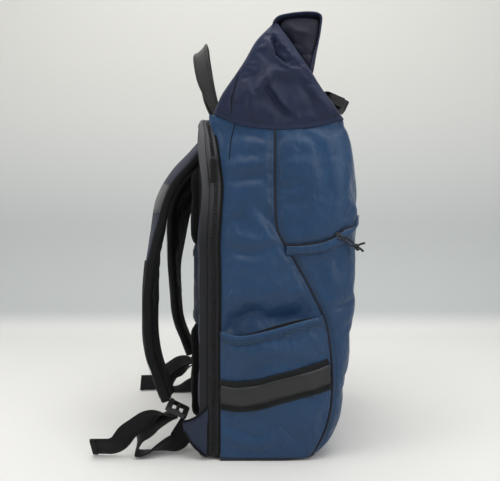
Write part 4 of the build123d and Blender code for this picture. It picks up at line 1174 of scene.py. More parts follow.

# a dart on each side, from the collar's edge down into the side panel, drawn as a thin near-black cord: painted shade
# in the dart's fold
DARTS = ((collar_cloth, [(0.0478, 0.433), (0.0508, 0.4215), (0.0545, 0.4085), (0.0552, 0.3945), (0.055, 0.3905)]),
         (bag_shell, [(0.0505, 0.3815), (0.053, 0.373), (0.0558, 0.36), (0.0574, 0.3385)]))
taper = 0.0002 + 0.00035 * np.sin(linspace(0, 1, 40) * pi) ** 0.5
for side, word in SIDES:
    dart = joined(f"side_dart_{word}", [
        tube("dart", side_line(smooth_line(line, 40), side, cloth, 0.0), taper, BINDING, up=(side, 0, 0), sides=6)
        for cloth, line in DARTS])
    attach(dart, "bag")

# the rolled mouth: an outer wrap over the turned-in layers
WRAP = smooth_line([(0.0084, 0.491), (0.0074, 0.495), (0.004, 0.4996), (-0.001, 0.5024), (-0.011, 0.5044),
                    (-0.02, 0.5048), (-0.033, 0.5044), (-0.043, 0.503), (-0.0462, 0.4985), (-0.0448, 0.486),
                    (-0.0425, 0.473), (-0.0395, 0.46), (-0.0385, 0.452), (-0.0362, 0.442), (-0.0345, 0.4405)], 90)
CORE = smooth_line([(-0.001, 0.4915), (-0.0055, 0.498), (-0.017, 0.5004), (-0.033, 0.5), (-0.042, 0.4982),
                    (-0.0438, 0.4935), (-0.0426, 0.479), (-0.0392, 0.46), (-0.0376, 0.451), (-0.0354, 0.443),
                    (-0.0325, 0.4428), (-0.0235, 0.458), (-0.012, 0.4745), (-0.002, 0.4885), (-0.0012, 0.4905)],
                   84)[:-1]
CORE_HALF = 0.1435


def swept(name, profile, half, columns, material, close=False, sink=0.0, seed=1.0, amount=0.0009):
    """A profile carried across the bag, with slow ripples and a dip under the closing strap."""
    xs = linspace(-half, half, columns)
    normal = beside(along(profile))
    lengths = path_length(profile)
    grid = np.zeros((len(profile), columns, 3))
    for c, x in enumerate(xs):
        ripple = np.array([noise.noise(Vector((x * 22, s * 30, seed))) for s in lengths]) * amount * 2.2
        ripple += np.array([noise.noise(Vector((x * 7, s * 9, seed + 4))) for s in lengths]) * amount * 1.6
        dip = -0.0016 * math.exp(-(x / 0.016) ** 2)
        off = ripple + dip - sink * float(step(half - abs(x), 0.0005, 0.009))
        grid[:, c, 0] = x
        grid[:, c, 1:] = profile + normal * off[:, None]
    uv = crossed(xs[None, :], lengths[:, None])
    if close:
        grid, uv = np.swapaxes(grid, 0, 1), np.swapaxes(uv, 0, 1)
    return grid_object(name, grid, uv, material, close=close, flip=not close)


roll_wrap = swept("roll_wrap", WRAP, 0.1474, 96, NAVY, seed=5.0)
subdivided(roll_wrap)
thickened(roll_wrap, 0.0016)
# the roll's core and end caps take the darker navy as painted shade under the wrap
roll_body = swept("roll_body", CORE, CORE_HALF, 90, NAVY_SHADED, close=True, sink=0.003, seed=9.0, amount=0.0006)


def end_cap(side):
    """The end of the roll: turned-in cloth with a sewn hem along its foot and folds toward the crest."""
    middle = np.array([-0.0265, 0.479])
    rings = []
    for k in linspace(0, 1, 16):
        at = CORE * (1 - k) + middle * k if k < 1 else middle + CORE * 1e-5
        lift = folded(0.003 * (1 - (1 - k) ** 2.4), at, [
            (0.004, 0.0022, (-0.008, 0.493), (-0.018, 0.484), (-0.033, 0.482)),
            (0.0032, -0.003, (-0.004, 0.488), (-0.015, 0.473), (-0.03, 0.464)),
            (0.0034, 0.0018, (-0.012, 0.479), (-0.022, 0.468), (-0.034, 0.464))])
        lift -= 0.0016 * np.exp(-((at[:, 1] - 0.458) / 0.0011) ** 2)
        lift += 0.001 * (1 - step(at[:, 1], 0.4555, 0.458))
        rings.append(np.column_stack([side * (CORE_HALF + lift), at]))
    grid = np.array(rings)
    return grid_object("roll_end", grid, grid[:, :, 1:], NAVY_SHADED, close=True, flip=side > 0)


caps = [end_cap(side) for side in (-1, 1)]
cap_threads = [side_line([(y, 0.456) for y in linspace(-0.0258, -0.0348, 8)], side, cap, 0.0002)
               for side, cap in zip((-1, 1), caps)]
roll_body = joined("roll_body_cloth", [roll_body] + caps)
subdivided(roll_body)
roll_stitches = stitches("roll_stitches", cap_threads + [front_line(0.447, roll_wrap, 0.0002, 0.145, 110)])
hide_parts("roll_outer")
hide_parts("roll_core")
for piece in (roll_wrap, roll_body, roll_stitches):
    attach(piece, "roll")


# -------- zip gusset and its coil
(_, _, RING_LOW), (_, _, RING_TOP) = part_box("gusset_bag_side")
RING_R = 0.034
ZIP_Y = (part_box("gusset_bag_side")[1][1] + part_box("gusset_back_side")[0][1]) / 2
GUSSET_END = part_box("gusset_back_side")[1][1]


def ring_path(grow, count):
    """The back opening's outline, from the bottom middle round past both rounded top corners."""
    half, top, bottom, radius = BAG_HALF + grow, RING_TOP + grow, RING_LOW, RING_R + grow
    small = 0.006
    points = [(0.0, bottom)]
    for cx, cz, r, begin in ((-half + small, bottom + small, small, 1.5), (-half + radius, top - radius, radius, 1.0),
                             (half - radius, top - radius, radius, 0.5), (half - small, bottom + small, small, 0.0)):
        points += [(cx + r * cos(pi * begin - a), cz + r * sin(pi * begin - a))
                   for a in linspace(0, pi / 2, 14)]
    points.append((0.0, bottom))
    return evenly(np.array(points), count)


def on_gusset(path, y):
    """An outline of the back opening, at a place across the zip gusset's depth."""
    return np.stack([path[:, 0], drawn(y, path[:, 1]), path[:, 1]], axis=1)


def ring_line(grow, y, count=420, ends=8):
    """A line round the back opening that stops short of the bottom's middle."""
    return on_gusset(ring_path(grow, count)[ends:-ends], y)


def ring_band(name, section, material, thick, seed, count=420):
    """Cloth that runs round the opening, from (proud, y) places across its width."""
    lines = []
    for k, (grow, y) in enumerate(section):
        path = ring_path(grow, count)
        wave = np.array([noise.noise(Vector((i * 0.09, seed, k * 0.3))) for i in range(count)]) * 0.0004
        inward = np.stack([-np.sign(path[:, 0]) * (np.abs(path[:, 0]) > BAG_HALF - 0.03), -1.0 * (path[:, 1] > 0.3)],
                          axis=1)
        lines.append(on_gusset(path + inward * wave[:, None], y))
    uv = crossed(path_length(np.array(section))[:, None], path_length(lines[0])[None, :])
    return thickened(grid_object(name, np.array(lines), uv, material, flip=True), thick, 1.0)


gusset_bag_cloth = ring_band("gusset_bag_cloth", [
    (-0.003, BACK_Y - 0.0012), (0.0004, BACK_Y - 0.0004), (0.0011, BACK_Y + 0.0012), (0.0008, BACK_Y + 0.0032),
    (0.0003, ZIP_Y - 0.0022), (-0.0008, ZIP_Y - 0.0014)], ZIP_TAPE, 0.0016, 2.0)
gusset_back_cloth = ring_band("gusset_back_cloth", [
    (-0.0008, ZIP_Y + 0.0014), (0.0003, ZIP_Y + 0.0022), (0.0007, GUSSET_END - 0.003), (0.0009, GUSSET_END - 0.0006),
    (-0.001, GUSSET_END + 0.0006)], ZIP_TAPE, 0.0016, 5.0)
gusset_piping = tube("gusset_piping", ring_line(0.0006, BACK_Y + 0.0002, 500, 16), 0.0016, BINDING, up=(0, 1, 0))
coil_bag, coil_back = (
    beads(f"zip_coil_{word}", [ring_line(0.0004, ZIP_Y + offset)], 0.0021, (0.0014, 0.0017, 0.0028), COIL, up=(0, 1, 0))
    for word, offset in (("bag", -0.0011), ("back", 0.0011)))
for obj, node, body in ((gusset_bag_cloth, "gusset_bag_side", "bag"), (gusset_back_cloth, "gusset_back_side", "back"),
                        (coil_bag, "zip_chain_bag", "bag"), (coil_back, "zip_chain_back", "back")):
    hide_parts(node)
    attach(obj, body)
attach(gusset_piping, "bag")
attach(stitches("gusset_stitches", [ring_line(0.0012, BACK_Y + 0.0026)]), "bag")
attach(stitches("gusset_back_stitches", [ring_line(0.0011, GUSSET_END - 0.0018)]), "back")

# the bag's cloth behind each rounded top corner of the gusset
corner_centre = np.array([BAG_HALF - RING_R, RING_TOP - RING_R])
for side, word in SIDES:
    grid = []
    for angle in linspace(0, pi / 2, 25):
        way = np.array([cos(angle), sin(angle)])
        reach = min((BAG_HALF - corner_centre[0]) / max(way[0], 1e-6), (HEM_Z - corner_centre[1]) / max(way[1], 1e-6))
        row = [corner_centre + way * (RING_R - 0.001 + (reach - RING_R + 0.0012) * k) for k in linspace(0, 1, 7)]
        grid.append([(side * x, BACK_Y - 0.0004 + lean(z), z) for x, z in row])
    grid = np.array(grid)
    corner_cloth = grid_object(f"back_corner_cloth_{word}", grid, flat_map(grid), BLUE, flip=side < 0)
    thickened(corner_cloth, 0.0016)
    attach(corner_cloth, "bag")


# -------- back panel
COVER_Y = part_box("back_cover")[1][1]


def ring_half(z):
    """Half the back panel's width at a height: full up to where its top corners round over."""
    over = max(0.0, z - (RING_TOP - RING_R))
    return BAG_HALF - RING_R + sqrt(max(0.0, RING_R ** 2 - over ** 2)) if over > 0 else BAG_HALF


def cover_place(t, s):
    """The padded cover: flat between its rolled edges, a little slack between pads."""
    z = RING_LOW + (RING_TOP - RING_LOW) * (t + 1) / 2
    half = ring_half(z)
    x = max(-half, min(half, half * s * (1.35 - 0.35 * s * s)))
    edge = min(half - abs(x), z - RING_LOW, RING_TOP - z)
    roll = sqrt(max(0.0, 1 - (1 - min(1.0, edge / 0.0065)) ** 2))
    return x, drawn(GUSSET_END + 0.0003 + (COVER_Y - GUSSET_END) * roll, z), z


cover_grid = spread(linspace(-1, 1, 74), linspace(-1, 1, 70), cover_place)
back_cover_cloth = grid_object("back_cover_cloth", cover_grid, flat_map(cover_grid), BACK_NAVY, flip=True)
flat = coords(back_cover_cloth)
inside = np.minimum.reduce([BAG_HALF - np.abs(flat[:, 0]), flat[:, 2] - RING_LOW, RING_TOP - flat[:, 2]])
flat[:, 1] += (0.0012 + 0.001 * rumple(flat, 24.0, 5.0)) * step(inside, 0.004, 0.03)
set_coords(back_cover_cloth, flat)
simulated(back_cover_cloth, 1 - step(inside, 0.004, 0.01), pressure=0.7, shrink=-0.018, cap=0.0035)
subdivided(back_cover_cloth)
thickened(back_cover_cloth, 0.0016)
edge_binding = ring_band("cover_edge_binding", [
    (0.0004, GUSSET_END + 0.0004), (0.0014, GUSSET_END + 0.0016), (0.0013, COVER_Y - 0.003),
    (0.0002, COVER_Y + 0.0003), (-0.003, COVER_Y + 0.0014), (-0.0052, COVER_Y + 0.0008)], ZIP_TAPE, 0.0011, 9.0)
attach(edge_binding, "back")
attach(stitches("cover_stitches", [ring_line(-0.003, COVER_Y + 0.0022)], THREAD), "back")
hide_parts("back_cover")
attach(back_cover_cloth, "back")


def pillow(name, middle, size, thick, base_y, rows=44):
    """A stuffed pad seen from behind: flat-topped, rounded to its sewn edge, with quilted channels."""
    cx, cz = middle
    corner = 0.022

    def place(t, s):
        z = t * size[1] / 2
        over = max(0.0, abs(z) - (size[1] / 2 - corner))
        half = size[0] / 2 - corner + sqrt(max(0.0, corner ** 2 - over ** 2))
        x = s * half
        edge = min(half - abs(x), size[1] / 2 - abs(z)) if half > abs(x) else 0.0
        round_in = 1 - min(1.0, edge / 0.016)
        rise = thick * sqrt(max(0.0, 1 - round_in ** 2.4))
        for at_x in (-0.017, 0.017):
            rise -= 0.0042 * math.exp(-((x - at_x) / 0.0045) ** 2) * (1 - round_in)
        return cx + x, base_y + rise, cz + z

    places = [sin(t * pi / 2) * 0.35 + t * 0.65 for t in linspace(-1, 1, rows)]
    grid = spread(places, places, place)
    pad = grid_object(name, grid, flat_map(grid), MESH, flip=True)
    flat = coords(pad)
    inside = np.minimum(size[0] / 2 - np.abs(flat[:, 0] - cx), size[1] / 2 - np.abs(flat[:, 2] - cz))
    flat[:, 1] += 0.0012 * rumple(flat, 30.0, cx * 50 + cz * 9) * step(inside, 0.004, 0.02)
    set_coords(pad, flat)
    simulated(pad, 1 - step(inside, 0.002, 0.008), pressure=1.5, shrink=-0.012, cap=0.003, bending=1.2)
    subdivided(pad)
    thickened(pad, 0.0012)
    return pad


def rounded_frame(middle, size, corner, y):
    """A line round a pad, as a rectangle with rounded corners."""
    cx, cz = middle
    points = []
    for sx, sz, begin in ((1, 1, 0.0), (-1, 1, 0.5), (-1, -1, 1.0), (1, -1, 1.5)):
        points += [(cx + sx * (size[0] / 2 - corner) + corner * cos(pi * begin + a), y,
                    cz + sz * (size[1] / 2 - corner) + corner * sin(pi * begin + a))
                   for a in linspace(0, pi / 2, 9)]
    points.append(points[0])
    return smooth_line(points, 150)


for side, word in SIDES:
    for kind in ("upper", "lower"):
        low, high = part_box(f"{kind}_pad_{word}")
        middle = ((low[0] + high[0]) / 2, (low[2] + high[2]) / 2)
        size = (high[0] - low[0], high[2] - low[2])
        cushion = pillow(f"{kind}_cushion_{word}", middle, size, high[1] - low[1] - 0.001, low[1] + 0.0004)
        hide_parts(f"{kind}_pad_{word}")
        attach(cushion, "back")
        edge = rounded_frame(middle, (size[0] + 0.001, size[1] + 0.001), 0.0225, low[1] + 0.0022)
        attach(tube(f"{kind}_cushion_binding_{word}", edge, 0.0021, BINDING, up=(0, 1, 0)), "back")
        seam = rounded_frame(middle, (size[0] + 0.008, size[1] + 0.008), 0.026, low[1] + 0.0016)
        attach(stitches(f"{kind}_cushion_stitches_{word}", [seam], THREAD), "back")

SLEEVE_LOW, SLEEVE_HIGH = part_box("luggage_sleeve")


def sleeve_place(t, s):
    """The sleeve across the back: sewn down at both ends, standing off the cover between them."""
    x = s * (SLEEVE_HIGH[0] - 0.001)
    stand = step(SLEEVE_HIGH[0] - abs(x), 0.004, 0.022)
    sag = 0.0012 * cos(pi * (t - 0.5)) * (1 - abs(s))
    tucked = 0.55 + 0.45 * step(min(t, 1 - t), 0.0, 0.06)
    return (x, SLEEVE_LOW[1] + 0.0014 + (SLEEVE_HIGH[1] - SLEEVE_LOW[1] - 0.001) * stand * tucked + sag,
            SLEEVE_LOW[2] - 0.012 + (SLEEVE_HIGH[2] - SLEEVE_LOW[2] + 0.024) * t)


grid = spread(linspace(0, 1, 34), linspace(-1, 1, 72), sleeve_place)
luggage_sleeve_cloth = grid_object("luggage_sleeve_cloth", grid, flat_map(grid), BACK_NAVY, flip=True)
flat = coords(luggage_sleeve_cloth)
hold = np.clip(1 - np.abs(flat[:, 0]) / SLEEVE_HIGH[0], 0, 1)
flat[:, 1] += 0.0012 * rumple(flat, 22.0, 8.0) * step(hold, 0.05, 0.25)
set_coords(luggage_sleeve_cloth, flat)
simulated(luggage_sleeve_cloth, 1 - step(hold, 0.03, 0.16), pressure=0.2, shrink=-0.012, cap=0.003, stiffness=12,
          bending=1.0)
subdivided(luggage_sleeve_cloth)
thickened(luggage_sleeve_cloth, 0.0024)
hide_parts("luggage_sleeve")
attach(luggage_sleeve_cloth, "back")
for word, z in (("low", SLEEVE_LOW[2] + 0.001), ("high", SLEEVE_HIGH[2] - 0.001)):
    line = rested([(x, 0.13, z) for x in linspace(-0.118, 0.118, 120)], luggage_sleeve_cloth, (0, -1, 0), -0.0008)
    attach(ribbon(f"sleeve_binding_{word}", line, 0.009, 0.0036, BACK_NAVY, across=(0, 0, 1)), "back")
sleeve_heights = linspace(SLEEVE_LOW[2] + 0.003, SLEEVE_HIGH[2] - 0.003, 50)
sleeve_threads = [rested([(x, 0.13, z) for z in sleeve_heights], luggage_sleeve_cloth, (0, -1, 0), 0.0003)
                  for x in (-0.1165, -0.1135, 0.1165, 0.1135)]
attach(stitches("sleeve_stitches", sleeve_threads, THREAD), "back")


# -------- shoulder straps and their webbing
def filleted(points, radii, count):
    """A line of straight stretches with rounded bends, evenly spaced."""
    points = [np.asarray(p, dtype=float) for p in points]
    path = [points[0]]
    for before, at, after, radius in zip(points, points[1:], points[2:], radii):
        one, two = before - at, after - at
        one_length, two_length = np.linalg.norm(one), np.linalg.norm(two)
        one, two = one / one_length, two / two_length
        angle = math.acos(np.clip(one @ two, -1, 1))
        if abs(pi - angle) < 1e-4:
            continue
        reach = min(radius / math.tan(angle / 2), 0.49 * one_length, 0.49 * two_length)
        radius = reach * math.tan(angle / 2)
        centre = at + (one + two) / np.linalg.norm(one + two) * radius / sin(angle / 2)
        start, end = at + one * reach - centre, at + two * reach - centre
        swing = pi - angle
        path += [centre + (start * sin((1 - k) * swing) + end * sin(k * swing)) / sin(swing)
                 for k in linspace(0, 1, 16)]
    path.append(points[-1])
    return evenly(np.array(path), count)


STRAP_LINE = filleted([(0.089, 0.37), (0.142, 0.31), (0.154, 0.208), (0.1505, 0.124), (0.129, 0.065)],
                      [0.095, 0.35, 0.15], 130)
STRAP_THICK = 0.013
STRAP_TILT = 0.3              # over the shoulder the strap's outer edge lies lower than its inner edge


def strap_place(z):
    """The strap's middle and half-width, across the bag, at a height."""
    t = np.clip((0.378 - z) / (0.378 - 0.052), 0, 1)

    def edge(root, tail, out):
        a, b, c, d = root, root - 0.0075, tail + out, tail
        return ((1 - t) ** 3 * a + 3 * (1 - t) ** 2 * t * b + 3 * (1 - t) * t * t * c + t ** 3 * d)

    inner = edge(0.074 - 0.033, 0.124 - 0.018, -0.008)
    outer = edge(0.074 + 0.033, 0.124 + 0.018, 0.008)
    return (inner + outer) / 2, (outer - inner) / 2


STRAP_OUT = beside(along(STRAP_LINE))
STRAP_LONG = path_length(STRAP_LINE)
STRAP_CUP = 0.0035             # how far the strap's middle stands proud of its edges


def strap_surface(side, heights, start=0, stop=None):
    """Rows along the strap, columns across it, at heights off its middle line."""
    rows = []
    for i in range(start, stop or len(STRAP_LINE)):
        y, z = STRAP_LINE[i]
        x_mid, half = strap_place(z)
        tilt = STRAP_TILT * float(step(z, 0.17, 0.3))
        row = []
        for s, height in heights:
            bend = STRAP_CUP * (1 - s * s) - STRAP_CUP * 0.5
            slack = 0.0006 * noise.noise(Vector((s * 2 + 1, STRAP_LONG[i] * 26, side)))
            lift = height + bend - tilt * s * half + slack
            row.append((side * (x_mid + s * half), y + STRAP_OUT[i, 0] * lift, z + STRAP_OUT[i, 1] * lift))
        rows.append(row)
    return np.array(rows)


def strap_uv(grid):
    return crossed(row_length(grid), path_length(grid[:, 0])[:, None])


def off_strap(rows, lift):
    """The direction off the strap's face, at some of its rows, times a lift."""
    return np.column_stack([np.zeros(len(STRAP_OUT[rows])), STRAP_OUT[rows]]) * lift


def build_strap(side, word):
    body = f"strap_{word}"
    half = STRAP_THICK / 2
    inner = [(s, -half * (1 - abs(s) ** 5) ** 0.5 + 0.0004) for s in linspace(-0.97, 0.97, 18)]
    outer = [(s, half * 0.74 * (1 - abs(s) ** 6) ** 0.5) for s in linspace(0.99, -0.99, 18)]
    grid = strap_surface(side, inner + outer)
    pad = grid_object(f"strap_cushion_{word}", grid, strap_uv(grid), MESH, close=True)
    close_ends(pad, grid.shape[1])
    row = np.arange(len(grid))
    ends = np.repeat(np.minimum(row, row[::-1]), grid.shape[1])
    pins = np.maximum(1 - step(ends, 2, 5), np.tile([abs(s) > 0.93 for s, _ in inner + outer], len(grid)))
    simulated(pad, pins, pressure=2.5, shrink=-0.01, cap=0.0028, bending=1.4)
    subdivided(pad)
    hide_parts(f"strap_pad_{word}")
    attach(pad, body)

    face = half * 0.86
    grid = strap_surface(side, [(s, face + 0.0014 * (1 - abs(s) ** 4)) for s in linspace(-0.93, 0.93, 20)])
    facing = grid_object(f"strap_facing_cloth_{word}", grid, strap_uv(grid), FACING)
    flat = coords(facing)
    flat += coords(facing, "normal") * (0.0006 * rumple(flat, 42.0, 3.0 + side))[:, None]
    set_coords(facing, flat)
    for material in (HANDLE_WEB, BINDING):
        facing.data.materials.append(material)
    for polygon in facing.data.polygons:
        level = STRAP_LINE[polygon.index // (grid.shape[1] - 1), 1]
        polygon.material_index = 2 if level < 0.226 else 1 if 0.284 < level < 0.316 else 0
    subdivided(facing)
    thickened(facing, 0.0012, 0.0)
    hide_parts(f"strap_facing_{word}")
    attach(facing, body)

    everywhere, under_web = slice(None), slice(66, 112)
    edges = []
    for s in (-0.955, 0.955):
        line = strap_surface(side, [(s, half * 0.25)])[:, 0] + np.array([side * math.copysign(0.0006, s), 0, 0])
        edges.append(ribbon("strap_edge", line, 0.0088, 0.0016, BINDING, across=off_strap(everywhere, 1.0),
                            belly=0.0008, ragged=0.0004, seed=s * 4))
    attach(joined(f"strap_binding_{word}", edges), body)

    threads = [strap_surface(side, [(s, face + 0.0018)])[3:-3, 0] for s in (-0.86, 0.86)]
    cross_line = [(s, face + 0.0022) for s in linspace(-0.88, 0.88, 24)]
    threads += [strap_surface(side, cross_line, row, row + 1)[0] for row in (24, 26, 41, 43)]
    lane = strap_surface(side, [(0, face + 0.003)])[:, 0]
    web = ribbon(f"strap_web_{word}", lane[under_web] - off_strap(under_web, 0.0018), 0.02, 0.0016, WEBBING,
                 belly=0.0002, seed=2.0 + side)
    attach(web, body)
    sewn = slice(under_web.start + 1, under_web.stop - 1)
    threads += [lane[sewn] + np.array([edge, 0, 0]) - off_strap(sewn, 0.0008) for edge in (-0.008, 0.008)]
    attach(stitches(f"strap_stitches_{word}", threads, THREAD), body)


for side, word in SIDES:
    build_strap(side, word)

WEB_LOW, WEB_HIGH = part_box("adjuster_webbing_left")
WEB_X = (abs(WEB_LOW[0]) + abs(WEB_HIGH[0])) / 2
WEB_WIDE = WEB_HIGH[0] - WEB_LOW[0]
WEB_THICK = 0.0018


def webbing_run(name, node, side, word, route, radii, seed, turns, aside, sewn_to=None, count=150):
    """Webbing along a route, twisting on its way: turns gives its angle about its own length."""
    line = filleted(route, radii, count)
    drift = np.array([noise.noise(Vector((i * 0.03, seed, 0))) for i in range(count)]) * 0.0012
    angle = evened(np.radians(np.interp(linspace(0, 1, count), *zip(*turns))), 8)
    points = np.column_stack([side * (WEB_X + aside * np.sin(angle) ** 2) + drift, line])
    way = along(line)
    across = np.column_stack([side * np.cos(angle), -way[:, 1] * np.sin(angle), way[:, 0] * np.sin(angle)])
    points[:, 2] += np.maximum(0.0014 - points[:, 2] + WEB_WIDE / 2 * np.abs(across[:, 2]), 0)
    web = ribbon(f"{name}_{word}", points, WEB_WIDE, WEB_THICK, WEBBING, across=across, belly=0.0003, ragged=0.0007,
                 seed=seed)
    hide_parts(f"{node}_{word}")
    if sewn_to:
        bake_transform(web)
    else:
        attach(web, f"strap_{word}")
    return points, across


for side, word in SIDES:
    webbing_run(
        "adjuster_web", "adjuster_webbing", side, word,
        [(0.104, 0.035), (0.118, 0.014), (0.15, 0.0024), (0.166, 0.0026), (0.16, 0.024), (0.142, 0.0375),
         (0.1165, 0.047)], [0.014, 0.02, 0.0026, 0.02, 0.016], 3.0 + side,
        [(0, 88), (0.17, 78), (0.34, 32), (0.44, 4), (0.56, 4), (0.68, 42), (0.8, 36), (0.93, 0), (1, 0)], -0.006,
        sewn_to="back")
    tail, tail_across = webbing_run(
        "adjuster_loose", "adjuster_tail", side, word,
        [(0.119, 0.0495), (0.148, 0.047), (0.1745, 0.029), (0.186, 0.0125), (0.2155, 0.0115)], [0.04, 0.024, 0.022],
        8.0 + side, [(0, 0), (0.08, 0), (0.3, 62), (0.6, 64), (1, 58)], 0.0065)
    off = np.cross(tail_across, np.gradient(tail, axis=0))
    off *= (np.sign(off[:, 0]) * side / np.linalg.norm(off, axis=1))[:, None]
    hem = ribbon(f"tail_hem_{word}", tail[-9:] + off[-9:] * 0.0016, WEB_WIDE * 0.98, 0.0014, WEBBING,
                 across=tail_across[-9:])
    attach(hem, f"strap_{word}")
    bars = [tail[i] + off[i] * 0.0027 + tail_across[i] * linspace(-0.01, 0.01, 20)[:, None] for i in (-8, -4)]
    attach(stitches(f"tail_stitches_{word}", bars, pitch=0.003, gauge=0.0007), f"strap_{word}")


def wing_place(t, s):
    """The fabric wing at the bottom corner: a padded triangle that holds the webbing's end."""
    top, tip_high, tip_low, foot = np.array([(0.0815, 0.06), (0.1105, 0.0435), (0.1085, 0.033), (0.0835, 0.0045)])
    upper = top * (1 - t) + tip_high * t + np.array([0, -0.0035]) * sin(pi * t)
    lower = foot * (1 - t) + tip_low * t + np.array([0.001, -0.003]) * sin(pi * t)
    puff = 0.0022 * sin(pi * s) ** 0.6 * (1 - 0.55 * t)
    return BAG_HALF + 0.0012 + puff, *(upper * (1 - s) + lower * s)


for side, word in SIDES:
    grid = spread(linspace(0, 1, 22), linspace(0, 1, 26), wing_place) * (side, 1, 1)
    wing = grid_object(f"corner_wing_{word}", grid, grid[:, :, 1:], BACK_NAVY, flip=side < 0)
    flat = coords(wing)
    flat[:, 0] += side * 0.0007 * rumple(flat, 60.0, 4.0)
    set_coords(wing, flat)
    subdivided(wing)
    thickened(wing, 0.002)
    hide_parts(f"strap_wing_{word}")
    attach(wing, "back")
    edges = joined(f"wing_binding_{word}", [
        tube("wing_edge", grid[:, column] + np.array([side * 0.0006, 0, 0]), 0.0013, BINDING) for column in (0, -1)])
    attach(edges, "back")
    seams = [grid[1:-1, column] + np.array([side * 0.0004, 0, 0]) for column in (2, -3)]
    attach(stitches(f"wing_stitches_{word}", seams, THREAD, 0.0034), "back")


# -------- grab handle
def handle_parts():
    """A loop of heavy webbing, folded narrow where each end is sewn into the collar's seam."""
    leg = [(-0.051, 0.0708, 0.3915), (-0.0528, 0.076, 0.408), (-0.0545, 0.085, 0.433), (-0.0535, 0.0935, 0.46),
           (-0.049, 0.0985, 0.485), (-0.038, 0.1, 0.5), (-0.02, 0.1, 0.508), (0.0, 0.0998, 0.51)]
    line = smooth_line(leg + [(-x, y, z) for x, y, z in leg[-2::-1]], 150)
    share = np.abs(linspace(-1, 1, 150))
    widths = 0.0215 - 0.016 * step(share, 0.52, 0.97)
    tilt = np.column_stack([-0.22 * np.sign(line[:, 0]) * step(np.abs(line[:, 0]), 0.0, 0.045), np.ones(150),
                            -0.2 - 0.8 * (1 - step(share, 0.1, 0.48))])
    outer = ribbon("handle_loop", line, widths, 0.0022, HANDLE_WEB, across=tilt, belly=0.001, ragged=0.0009, seed=2.0)
    tangent = along(line)
    side = unit(tilt)
    side = unit(side - (side * tangent).sum(1)[:, None] * tangent)
    inward = np.cross(side, tangent)
    inward *= np.sign(((np.array([0, 0.09, 0.45]) - line) * inward).sum(1))[:, None]
    keep = slice(18, -18)
    lining = ribbon("handle_lining", (line + inward * 0.0022)[keep], widths[keep] * 0.86, 0.0016, WEBBING,
                    across=tilt[keep], seed=6.0)
    threads = [(line + side * (widths[:, None] * reach) - inward * 0.0014)[keep] for reach in (-0.38, 0.38)]
    return joined("grab_handle_loop", [outer, lining]), threads


grab_handle_loop, handle_threads = handle_parts()
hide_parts("grab_handle")
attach(grab_handle_loop, "handle")
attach(stitches("handle_stitches", handle_threads, gauge=0.0007), "handle")


# -------- closure strap and its clasp
CLASP_TILT = math.radians(25)
clasp_axis = np.array([-cos(CLASP_TILT), -sin(CLASP_TILT)])
clasp_up = np.array([-sin(CLASP_TILT), cos(CLASP_TILT)])
clasp_rear = np.array([-0.076, 0.4515])
closure_route = [(-0.001, 0.503), (-0.011, 0.5058), (-0.043, 0.5062), (-0.0485, 0.5), (-0.04, 0.448),
                 clasp_rear - clasp_axis * 0.003 + clasp_up * 0.0013,
                 clasp_rear + clasp_axis * 0.0225 + clasp_up * 0.0013]
closure_line = filleted(closure_route, [0.004, 0.004, 0.004, 0.006, 0.01], 150)
closure_points = np.column_stack([np.zeros(150), closure_line])
closure_web = ribbon("closure_web", closure_points, 0.025, WEB_THICK, WEBBING, belly=0.0002, ragged=0.0005, seed=4.0)
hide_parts("closure_strap")
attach(closure_web, "roll")
closure_threads = [closure_points[6:60] + np.array([reach, 0, 0.0011]) for reach in (-0.0095, 0.0095)]
turn = linspace(0, 2 * pi, 40)
closure_threads.append(np.column_stack([
    0.008 * np.cos(turn), clasp_rear + clasp_up * 0.0026 + clasp_axis * (0.012 + 0.006 * np.sin(turn))[:, None]]))
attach(stitches("closure_stitches", closure_threads, pitch=0.0032, gauge=0.0007), "roll")

anchor_end = clasp_rear + clasp_axis * 0.022 - clasp_up * 0.0135
anchor_turn = clasp_rear - clasp_axis * 0.002 - clasp_up * 0.0135
anchor_line = filleted([anchor_end, anchor_turn, (-0.075, 0.415), (-0.0815, 0.384), (-0.086, 0.362)],
                       [0.004, 0.012, 0.02], 90)
anchor_points = np.column_stack([np.zeros(90), anchor_line])
on_cloth = rested(anchor_points[66:], bag_shell, (0, 1, 0), 0.0016)
anchor_points[66:, 1] = np.minimum(anchor_points[66:, 1], on_cloth[:, 1])
anchor_points[60:, 1] = evened(anchor_points[60:, 1], 3)
anchor_web = ribbon("anchor_web", anchor_points, 0.025, WEB_THICK, WEBBING, belly=0.0002, ragged=0.0005, seed=7.0)
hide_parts("closure_anchor")
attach(anchor_web, "bag")
box_stitch = [[(x, -0.15, z) for x in linspace(-0.0105, 0.0105, 16)] for z in linspace(0.3655, 0.3775, 3)]
box_stitch += [[(x, -0.15, z) for z in linspace(0.3655, 0.3775, 10)] for x in (-0.0105, 0.0105)]
box_stitch = [rested(line, anchor_web, (0, 1, 0), 0.0003) for line in box_stitch]
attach(stitches("anchor_stitches", box_stitch, pitch=0.0028, gauge=0.0007), "bag")


# -------- solar panel
SOLAR_LOW, SOLAR_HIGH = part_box("solar_laminate")
CELL_MARGIN, CELL_GAP = 0.011, 0.003


def solar_face(x0, x1, z0, z1, lift, columns, rows):
    """A stiff sheet that follows the front's curve, smoothed, at a height above the cloth."""
    zs = linspace(z0, z1, rows)
    xs = linspace(x0, x1, columns)
    y = front_y(zs)
    grid = np.zeros((rows, columns, 3))
    for r, z in enumerate(zs):
        grid[r, :, 0] = xs
        grid[r, :, 1] = y[r] - 0.004 - lift - 0.0012 * (1 - (xs / 0.093) ** 2)
        grid[r, :, 2] = z
    return grid


